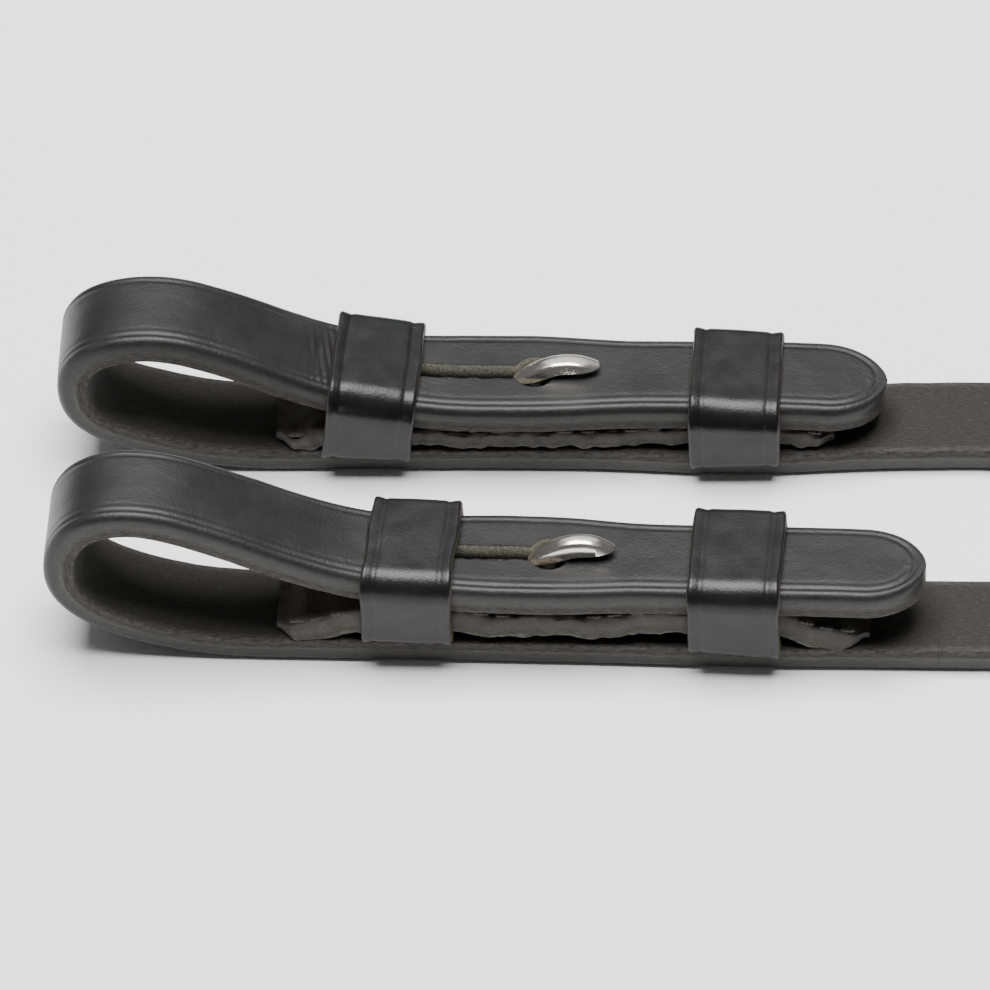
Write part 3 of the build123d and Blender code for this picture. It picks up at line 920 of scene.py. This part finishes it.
    def keeper(self, word: str, shape: KeeperShape, skew: float, lean: float) -> Object:
        """Makes a fixed keeper, whose lower corners reach a little down past the strap's top.

        Args:
            word: Which keeper, as the frame's nodes spell it.
            shape: Its place and size.
            skew: How far its near side leads its far side, in degrees.
            lean: How far its foot leads its top, in degrees.

        Returns:
            The keeper.
        """
        middle, width, low_a, high_a, low_b, high_b = (v * MM for v in shape)

        def to_frame(along: Array, sideways: Array, height: Array) -> Array:
            """Puts the band on this rein, skewed and with a height for each end."""
            share = np.clip(along / width + 0.5, -0.1, 1.1)
            low, high = low_a + (low_b - low_a) * share, high_a + (high_b - high_a) * share
            lifted = low + (high - low) * height
            above = np.where(np.abs(sideways) < STRAP_W / 2 + 0.15 * MM, STRAP_T + 0.05 * MM, 0.0)
            ahead = sideways * np.tan(radians(skew)) + (lifted - 11.0 * MM) * np.tan(radians(lean))
            drift = self.sway * bump(np.array(middle - self.rear.middle * MM), 15.0 * MM)
            return self.place(middle + along + ahead, sideways + 0.7 * drift, np.maximum(lifted, above))

        tall = ((high_a - low_a) + (high_b - low_b)) / 2
        wide, corners = STRAP_W + 2 * SIDE_PLAY + 2 * KEEPER_T, (3.5 * MM, 1.3 * MM, 1.4 * MM)
        name, seed = f"{self.side.word}_{word}_band", self.seed + middle * 100
        band = leather_band(name, (wide, tall), width, KEEPER_T, corners, to_frame, seed)
        return dress(band, self.finishes.keeper, "keeper_leather", f"{self.side.word}_{word}_keeper")

    def build(self) -> None:
        """Builds every piece of this bit end."""
        self.strap()
        self.tab()
        self.hook()
        self.stitches()
        self.keeper("front", self.front, KEEPER_SKEW[0], self.front_lean)
        self.keeper("rear", self.rear, KEEPER_SKEW[1], REAR_LEAN)


def stitch_row(name: str, places: Array, ways: Array, length: float, diameter: float) -> Object:
    """Makes stitches as one mesh: an egg-shaped grid turned to each place's way and copied there.

    Args:
        name: The object's name.
        places: Each stitch's middle.
        ways: The way each one lies.
        length: From end to end.
        diameter: The thread's.

    Returns:
        The stitches.
    """
    t, ring = np.linspace(0.0, 1.0, 7), np.linspace(0.0, 2 * pi, 8, endpoint=False)
    swell = np.sqrt(np.clip(1.0 - (2 * t - 1) ** 4, 0.02, 1.0)) * diameter / 2
    along = (t - 0.5) * length
    up = np.array([0.0, 0.0, 1.0])
    side = unit(np.cross(up, ways))
    lift = np.cross(ways, side)
    body = (
        along[None, :, None, None] * ways[:, None, None]
        + (swell[:, None] * np.cos(ring))[None, :, :, None] * side[:, None, None]
        + (swell[:, None] * np.sin(ring))[None, :, :, None] * lift[:, None, None]
    )
    grid = places[:, None, None] + body
    count, rows, columns = grid.shape[:3]
    number = np.arange(count * rows * columns).reshape(count, rows, columns)
    faces = [round_faces(number[:, :-1], number[:, 1:]), number[:, 0, ::-1], number[:, -1]]
    values = {"along": along[:, None], "across": ring / (2 * pi)}
    values = {key: np.broadcast_to(value, grid.shape[:3]) for key, value in values.items()}
    return build_mesh(name, grid.reshape(-1, 3), faces, values)


def leather_band(
    name: str,
    size: tuple[float, float],
    width: float,
    thickness: float,
    radii: tuple[float, float, float],
    to_frame: Callable[[Array, Array, Array], Array],
    seed: float,
) -> Object:
    """Makes a closed band of leather: a thin section carried round a rounded rectangle.

    The section is the band's width by its thickness with soft edges. It has a crease 1.7 mm inside each side
    and flares a little at the sides.

    Args:
        name: The object's name.
        size: The outside, across and up.
        width: The leather's width, along the strap.
        thickness: The leather's thickness.
        radii: The outside radii of the near upper, the far upper and both lower corners.
        to_frame: Turns places along, across and up (0 to 1 over the height) into the frame.
        seed: A number that makes this band's unevenness its own.

    Returns:
        The band.
    """
    (wide, tall), (upper, far, lower) = size, radii
    corners = (
        (wide / 2 - lower, lower, lower, -pi / 2),
        (wide / 2 - far, tall - far, far, 0.0),
        (upper - wide / 2, tall - upper, upper, pi / 2),
        (lower - wide / 2, lower, lower, pi),
    )
    pieces = []
    for y, z, radius, start in corners:
        turn = start + np.linspace(0.0, pi / 2, 13)
        out_y, out_z = np.cos(turn), np.sin(turn)
        pieces.append(np.stack([y + radius * out_y, z + radius * out_z, out_y, out_z], axis=-1))
    sparse = np.concatenate([*pieces, pieces[0][:1]])
    reached = travelled(sparse[:, :2])
    around = np.linspace(0.0, reached[-1], 240, endpoint=False)
    ring = np.column_stack([np.interp(around, reached, column) for column in sparse.T])
    outward = unit(ring[:, 2:])
    half, edge = width / 2, thickness * 0.32
    quarter = np.linspace(0.0, pi / 2, 5)
    face = np.linspace(edge - half, half - edge, 45)
    rim = np.concatenate([half - edge + edge * np.sin(quarter[1:]), half - edge + edge * np.cos(quarter)])
    rim_depth = np.concatenate([edge - edge * np.cos(quarter[1:]), thickness - edge + edge * np.sin(quarter)])
    inner = np.linspace(half - edge, edge - half, 9)[1:-1]
    along = np.concatenate([face, rim, inner, -rim[::-1]])
    depth = np.concatenate([np.zeros(face.size), rim_depth, np.full(inner.size, thickness), rim_depth[::-1]])
    on_face = np.exp(-((depth / (0.25 * MM)) ** 2))
    furrow = 0.13 * MM * bump(np.abs(along) - (half - 1.7 * MM), 0.3 * MM) * on_face
    flare = 0.22 * MM * smooth(np.abs(along), half - 1.5 * MM, half)
    bulge = 0.12 * MM * (1.0 - (along / half) ** 2) * on_face
    wave = 0.07 * MM * rumple(around[:, None], along, 14.0 * MM, seed)
    out = -depth - furrow + flare + bulge + wave
    side_wave = 0.14 * MM * rumple(around, 0.0, 12.0 * MM, seed + 3.0)[:, None] * np.sign(along)
    y = ring[:, 0:1] + out * outward[:, 0:1]
    z = ring[:, 1:2] + out * outward[:, 1:2]
    x = along + side_wave * smooth(np.abs(along), 0.0, half)
    cut = smooth(depth, 0.1 * MM, 0.5 * MM) * smooth(np.abs(along), half - edge, half - 0.3 * edge)
    values = {"along": around[:, None], "across": along, "grain": depth, "cut": cut}
    values = {key: np.broadcast_to(value, x.shape) for key, value in values.items()}
    return grid_mesh(name, to_frame(x, y, z / tall), values, ring=True)


# ---------------------------------------------------------------- the free reins and their coil


@dataclass
class FreeRein:
    """A rein from its bit end to its hand end: it turns on edge, then is wound with the other one."""

    side: Side
    finishes: Finishes
    length: float
    coil_x: float = 142.0
    straight: float = 86.0
    end_radius: float = 43.5
    half_turns: int = 6
    pair_pitch: float = 9.0
    foot: float = 0.8

    def lead(self) -> list[tuple[float, float, float]]:
        """The route from the bit end to the coil, in millimetres."""
        side = self.side.value
        points = [
            (61.3, 18.4, 2.1),
            (78.0, 18.6, 2.4),
            (95.0, 14.8, 5.4),
            (110.0, 8.2, 7.2),
            (125.0, 2.25, 7.5),
            (142.0, 2.25, 7.3),
        ]
        return [(x, side * y, z) for x, y, z in points]

    def turns(self) -> list[tuple[float, float, float]]:
        """The coil's turns: two points on each straight and eight round each end.

        The points stand out by what the spline falls short of them. Each end's circle is half a pitch smaller
        than the one before it.
        """
        step, height = self.pair_pitch / 2, self.foot + STRAP_W / MM / 2
        offset = self.side.value * self.pair_pitch / 4
        points: list[tuple[float, float, float]] = []
        y = 0.0
        for half in range(self.half_turns):
            heading = 1 if half % 2 == 0 else -1
            radius = self.end_radius - step * half
            start = self.coil_x if heading == 1 else self.coil_x + self.straight
            end = start + heading * self.straight
            line_y = y + heading * offset
            for share in (0.33, 0.67):
                points.append((start + heading * self.straight * share, line_y, height))
            middle = y + heading * radius
            out = (radius - offset) / SPLINE_SHARE
            for k in range(8):
                angle = radians(-78.75 + 22.5 * k)
                points.append((end + heading * out * cos(angle), middle + heading * out * sin(angle), height))
            y += heading * 2 * radius
        points.append((self.coil_x, y + offset, height))
        return points

    def line(self) -> StrapLine:
        """Reads the rein's line and turns the strap on edge over the lead.

        The strap's middle stands as high as half its width and half its thickness need at each turn.
        """
        points, along = spaced(read_line(np.array(self.lead() + self.turns()) * MM), REIN_STEP)
        share = smooth(along / LEAD_LENGTH, 0.1, 0.9)
        turn = share * pi / 2
        points[:, 2] = self.foot * MM * share + STRAP_W / 2 * np.sin(turn) + STRAP_T / 2 * np.cos(turn)
        way = np.gradient(points, axis=0)
        way[:, 2] = 0.0
        way = unit(way)
        left = np.stack([-way[:, 1], way[:, 0], 0.0 * way[:, 0]], axis=-1)
        up, side = np.array([0.0, 0.0, 1.0]), self.side.value
        grain = -up * np.cos(turn)[:, None] + side * left * np.sin(turn)[:, None]
        across = left * np.cos(turn)[:, None] + side * up * np.sin(turn)[:, None]
        return StrapLine(points, -along, across, grain)

    def build(self, end_pieces: Sequence[Object]) -> Object:
        """Args:
            end_pieces: The pieces at its hand end; not used.

        Returns:
            The strap.
        """
        line = self.line()
        section = strap_section(STRAP_W, STRAP_T)
        relief = crease(STRAP_W / 2 - np.abs(section.across)) * section.face
        strap = carry_section(f"{self.side.word}_rein", line, section, relief=relief)
        dress(strap, self.finishes.strap, "rein_leather", f"{self.side.word}_rein_run", "reins_coil")
        return strap


# ---------------------------------------------------------------- the hand ends


@dataclass
class HandEnds:
    """The right rein's buckle and the left rein's point, which lie in the coil, and the coil's ties."""

    finishes: Finishes

    def __post_init__(self) -> None:
        """Reads the bar's place and the ways along, to the grain and up the bar from the frame's joints."""
        joints = {joint["name"]: joint for joint in frame["joints"]}
        hinge = joints["buckle_frame_hinge"]
        self.bar = np.array(hinge["pos_m"], float)
        self.up = unit(np.array(hinge["axis"], float))
        self.ahead = unit(np.array(joints["running_keeper_slide"]["axis"], float))
        self.out = np.cross(self.up, self.ahead)

    def at_bar(self, along: Array, outward: Array, height: Array) -> Array:
        """Turns places from the bar (along the strap, to its grain, up) into the frame."""
        return (
            self.bar
            + np.asarray(along)[..., None] * self.ahead
            + np.asarray(outward)[..., None] * self.out
            + np.asarray(height)[..., None] * self.up
        )

    def point(self) -> Object:
        """Makes the left rein's point, which ends in half an ellipse and is punched."""
        low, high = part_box("left_hand_end")
        middle = (np.array(low) + np.array(high)) / 2
        x = np.linspace(low[0], high[0], 90)
        points = np.stack([x, np.full(x.size, middle[1]), np.full(x.size, low[2] + STRAP_W / 2)], axis=-1)
        ways = np.tile(np.array([[0.0, 0.0, -1.0], [0.0, -1.0, 0.0]]), (x.size, 1, 1))
        line = StrapLine(points, low[0] - x, ways[:, 0], ways[:, 1])
        taper = 8.0 * MM
        rest = np.clip((high[0] - x) / taper, 0.0005, 1.0)
        narrow = STRAP_W / 2 * np.sqrt(1.0 - (1.0 - rest) ** 2)
        section = strap_section(STRAP_W, STRAP_T)
        obj = carry_section("left_point", line, section, narrow)
        obj.data.materials.append(self.finishes.strap)
        ring = np.linspace(0.0, 2 * pi, 32, endpoint=False)
        outline = PUNCH_R * np.stack([np.cos(ring), np.zeros(ring.size), np.sin(ring)], axis=-1)
        for back in PUNCH_PLACES:
            centre = np.array([high[0] - back, middle[1], low[2] + STRAP_W / 2])
            carve(obj, self.finishes.fibre, outline, centre - [0, 6 * MM, 0], centre + [0, 6 * MM, 0])
        return dress(obj, self.finishes.strap, "rein_leather", "left_hand_end")

    def chape(self) -> list[Object]:
        """Makes the right rein's end: the strap, and the skived ply that is folded round the bar."""
        low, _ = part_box("right_hand_end")
        start = np.array([low[0], low[1] + STRAP_T / 2, self.bar[2] - (self.bar[0] - low[0]) * self.ahead[2]])
        straight = [self.at_bar(back * MM, 0.0, 0.0) for back in (-52.0, -38.0, -24.0, -10.0)]
        route = [start, start + [14.0 * MM, 0.0, 0.4 * MM], *straight]
        points, along = spaced(read_line(route), 0.8 * MM)
        way = unit(np.gradient(points, axis=0))
        across = unit(self.up - way * (way @ self.up)[:, None])
        line = StrapLine(points, -along, across, np.cross(across, way))
        strap = carry_section("right_hand_strap", line, strap_section(STRAP_W, STRAP_T))
        dress(strap, self.finishes.strap, "rein_leather", "right_hand_end")
        ply = STRAP_T / 2
        radius = 1.35 * MM + ply / 2  # round the bar
        turn = np.linspace(-pi / 2, pi / 2, 41)
        run = np.linspace(-10.0 * MM, 0.0, 14)[:-1]
        closed = ply / 2 + 0.05 * MM  # the two plies lie 0.1 mm apart
        settle = closed + (radius - closed) * smooth(run, -7.0 * MM, -0.5 * MM)
        x = np.concatenate([run, radius * np.cos(turn), run[::-1]])
        y = np.concatenate([-settle, radius * np.sin(turn), settle[::-1]])
        flat = np.stack([x, y], axis=-1)
        way = unit(np.gradient(flat, axis=0))
        outward = way[:, 1:2] * self.ahead - way[:, :1] * self.out
        up = np.tile(self.up, (x.size, 1))
        fold_line = StrapLine(self.at_bar(x, y, 0.0 * x), travelled(flat), up, outward)
        fold = carry_section("right_chape_fold", fold_line, strap_section(STRAP_W, ply, 0.6 * MM, 0.3 * MM))
        fold.data.materials.append(self.finishes.strap)
        square = np.array([[-1, -1], [1, -1], [1, 1], [-1, 1]], float)
        outline = square[:, :1] * 4.4 * MM * self.ahead + square[:, 1:] * 8.0 * MM * self.out
        reach = self.up * TONGUE_SLOT_HALF_W
        carve(fold, self.finishes.fibre, outline, self.bar - reach, self.bar + reach)
        dress(fold, self.finishes.strap, "rein_leather")
        return [strap, fold]

    def hand_keeper(self, word: str, middle: float, body: str) -> Object:
        """Makes a keeper on the chape, with room over the strap for the other rein's point.

        Args:
            word: Which keeper, as the frame's nodes spell it.
            middle: Its middle's place from the bar.
            body: The body that it rides on.

        Returns:
            The keeper.
        """
        thick = HAND_KEEPER_T
        low, tall = -STRAP_T / 2 - SIDE_PLAY - thick, STRAP_T + 4.8 * MM + 2 * thick

        def to_frame(along: Array, sideways: Array, height: Array) -> Array:
            """Puts the band round the chape."""
            return self.at_bar(middle + along, low + tall * height, sideways)

        size, corners = (STRAP_W + 2 * SIDE_PLAY + 2 * thick, tall), (1.8 * MM, 1.8 * MM, 1.6 * MM)
        band = leather_band(f"{word}_band", size, HAND_KEEPER_W, thick, corners, to_frame, middle * 900)
        return dress(band, self.finishes.keeper, "keeper_leather", f"{word}_hand_keeper", body=body)

    def rounded_copy(self, node: str, name: str, width: float) -> Object:
        """Copies a CAD node's mesh, merges its corners and rounds its edges.

        Args:
            node: The CAD node, whose body has its name.
            name: The copy's name.
            width: The rounding.

        Returns:
            The copy.
        """
        mesh = frame["nodes"][node].data.copy()
        mesh.materials.clear()
        obj = close_up(name, mesh, merge=True)
        soften = obj.modifiers.new("soften", "BEVEL")
        soften.width = width
        soften.segments = 3
        soften.limit_method = "ANGLE"
        soften.angle_limit = radians(40)
        return dress(obj, self.finishes.steel, "polished_steel", node, body=node)

    def sewing(self) -> Object:
        """Makes the chape's stitches, a row along each edge on the grain side."""
        spots = [
            self.at_bar(-15.55 * MM - STITCH_PITCH * i, STRAP_T / 2 + 0.02 * MM, edge * 4.8 * MM)
            for i in range(3)
            for edge in (-1, 1)
        ]
        ways = np.tile(self.ahead, (len(spots), 1))
        row = stitch_row("chape_thread", np.array(spots), ways, 2.2 * MM, 0.36 * MM)
        return dress(row, self.finishes.thread, "black_thread", "chape_stitching")

    def ties(self) -> Object:
        """Makes the two laces round the coil: thin bands on the node's own two boxes."""
        low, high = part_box("coil_ties")
        bundle, tall = 27.0 * MM, STRAP_W + 2 * TIE_T
        wide = bundle + 2 * (TIE_T + 0.1 * MM)
        corners = (1.0 * MM, 1.0 * MM, 0.9 * MM)
        places = ((high[0] - TIE_W / 2, low[1] + wide / 2), (low[0] + TIE_W / 2, high[1] - wide / 2))
        bands = []
        for x, y in places:

            def to_frame(along: Array, sideways: Array, height: Array, x: float = x, y: float = y) -> Array:
                """Puts the lace round one long side of the coil."""
                return np.stack([x + along, y + sideways, tall * height], axis=-1)

            name = f"lace_{len(bands)}"
            bands.append(leather_band(name, (wide, tall), TIE_W, TIE_T, corners, to_frame, x * 50))
        dress(bands[0], self.finishes.lace, "tie_leather", "coil_ties")
        dress(bands[1], self.finishes.lace, "tie_leather")
        return bands

    def build(self) -> tuple[list[Object], list[Object]]:
        """Builds the hand ends.

        Returns:
            The left rein's end pieces and the right rein's.
        """
        left = [self.point()]
        right = self.chape()
        right.append(self.hand_keeper("fixed", -10.5 * MM, BODY))
        right.append(self.hand_keeper("running", -27.0 * MM, "running_keeper"))
        right.append(self.rounded_copy("buckle_frame", "buckle_ring", 0.55 * MM))
        right.append(self.rounded_copy("buckle_tongue", "buckle_pin", 0.4 * MM))
        right.append(self.sewing())
        return left + self.ties(), right


# ---------------------------------------------------------------- the studio


@dataclass
class Studio:
    """The camera, the floor and the soft lights."""

    elevation: float = 47.5
    azimuth: float = 6.0
    roll: float = 4.0
    distance: float = 2.0
    view_width: float = 0.1351
    look_at: tuple[float, float, float] = (0.0, 0.0, 0.0076)
    sensor: float = 36.0
    room_light: float = 0.12
    floor_half: float = 6.0
    floor_level: float = -0.00005

    def camera(self) -> None:
        """Sets the camera up: it looks from the left rein's side, down and a little turned."""
        a, e = radians(self.azimuth), radians(self.elevation)
        back = Vector((sin(a) * cos(e), -cos(a) * cos(e), sin(e)))
        data = bpy.data.cameras.new("camera")
        data.sensor_width = self.sensor
        data.lens = self.sensor * self.distance / self.view_width
        data.clip_start, data.clip_end = 0.05, 50.0
        camera = put("camera", data)
        turn = back.to_track_quat("Z", "Y").to_matrix() @ Matrix.Rotation(-radians(self.roll), 3, "Z")
        camera.matrix_world = Matrix.Translation(Vector(self.look_at) + back * self.distance) @ turn.to_4x4()
        bpy.context.scene.camera = camera

    def panel(self, name: str, place: Sequence[float], size: tuple[float, float], power: float) -> None:
        """Hangs a soft panel that faces the reins.

        Args:
            name: The light's name.
            place: Where it hangs.
            size: Its width and height.
            power: Its power in watts.
        """
        data = bpy.data.lights.new(name, "AREA")
        data.shape = "RECTANGLE"
        data.size, data.size_y = size
        data.energy = power
        spot = Vector(place)
        turn = spot.normalized().to_track_quat("Z", "Y").to_matrix()
        put(name, data).matrix_world = Matrix.Translation(spot) @ turn.to_4x4()

    def floor(self) -> None:
        """Lays the floor just under the reins."""
        half, level = self.floor_half, self.floor_level
        points = [(x * half, y * half, level) for x, y in ((-1, -1), (1, -1), (1, 1), (-1, 1))]
        mesh = bpy.data.meshes.new("floor")
        mesh.from_pydata(points, [], [(0, 1, 2, 3)])
        mesh.materials.append(Paper("floor_paper").make())
        put("floor", mesh)

    def build(self) -> None:
        """Sets the studio up."""
        self.camera()
        self.floor()
        world = bpy.data.worlds.new("room")
        world.use_nodes = True
        background = world.node_tree.nodes["Background"]
        background.inputs["Color"].default_value = (1.0, 1.0, 1.0, 1.0)
        background.inputs["Strength"].default_value = self.room_light
        bpy.context.scene.world = world
        self.panel("overhead", (0.0, 0.1, 1.4), (1.1, 0.9), 56.0)
        self.panel("back", (0.0, 1.5, 1.45), (2.4, 1.0), 6.5)


def main() -> None:
    """Builds the studio and the reins."""
    logging.basicConfig(level=logging.INFO, format="%(name)s %(message)s")
    Studio().build()
    finishes = Finishes()
    left = BitEnd(
        side=Side.LEFT,
        finishes=finishes,
        across=-17.7 * MM,
        splay=-0.66,
        route=(
            (61.3, 2.1), (40.0, 2.1), (10.0, 2.1), (-22.0, 2.1), (-37.0, 2.0), (-49.5, 5.4),
            (-57.4, 11.5), (-57.6, 20.0), (-53.8, 25.6), (-45.5, 26.9), (-35.0, 22.6), (-23.5, 16.8),
            (-13.0, 13.9), (-3.0, 13.4), (9.0, 13.3), (21.0, 13.0), (33.0, 12.9), (43.0, 12.9),
            (51.0, 12.8), (59.6, 12.4),
        ),
        tab_route=(
            (-28.5, 5.4), (-23.5, 5.6), (-19.5, 7.4), (-15.0, 8.6), (-7.5, 8.8), (-2.0, 7.9),
            (3.0, 7.1), (9.0, 7.9), (14.5, 7.2), (20.0, 8.3), (26.0, 8.8), (39.0, 8.8), (43.5, 6.8),
            (46.5, 5.6), (52.0, 5.4),
        ),
        tip_length=8.5 * MM,
        stud=8.7,
        crown=15.3 * MM,
        hook_rise=3.2 * MM,
        tab_swell=1.75,
        sway=-0.3 * MM,
        front=KeeperShape(-10.1, 12.2, 5.5, 17.9, 5.2, 17.2),
        rear=KeeperShape(34.0, 12.4, 4.8, 16.9, 3.7, 16.4),
        front_lean=1.5,
        wrinkles=(),
        seed=1.3,
    )
    right = BitEnd(
        side=Side.RIGHT,
        finishes=finishes,
        across=17.7 * MM,
        splay=0.66,
        route=(
            (61.3, 2.1), (40.0, 2.1), (10.0, 2.1), (-22.0, 2.1), (-37.0, 2.0), (-49.0, 5.2),
            (-57.6, 9.6), (-58.7, 18.0), (-55.0, 23.2), (-46.0, 24.8), (-36.0, 20.9), (-27.0, 15.7),
            (-17.5, 12.4), (-8.0, 11.2), (4.0, 11.1), (16.0, 10.9), (28.0, 10.8), (38.0, 10.7),
            (46.0, 10.2), (52.8, 9.3),
        ),
        tab_route=(
            (-30.9, 5.4), (-27.5, 5.4), (-24.0, 6.4), (-20.5, 7.0), (-13.0, 7.0), (-8.0, 6.6),
            (-2.0, 6.2), (6.0, 6.2), (14.0, 6.1), (20.0, 6.6), (26.0, 7.0), (39.0, 7.0), (42.5, 5.9),
            (45.7, 5.4),
        ),
        tip_length=8.5 * MM,
        stud=4.8,
        crown=13.1 * MM,
        hook_rise=2.5 * MM,
        tab_swell=1.3,
        sway=-1.1 * MM,
        front=KeeperShape(-17.3, 12.2, 4.3, 17.3, 3.5, 14.7),
        rear=KeeperShape(32.4, 12.4, 2.8, 14.7, 3.3, 13.6),
        front_lean=7.0,
        wrinkles=(-22.9, -23.6, -24.3, -25.1, -25.8, -26.7),
        seed=2.9,
    )
    left.build()
    right.build()
    left_pieces, right_pieces = HandEnds(finishes).build()
    FreeRein(Side.LEFT, finishes, 1.249).build(left_pieces)
    FreeRein(Side.RIGHT, finishes, 1.164).build(right_pieces)


if __name__ == "__main__":
    main()
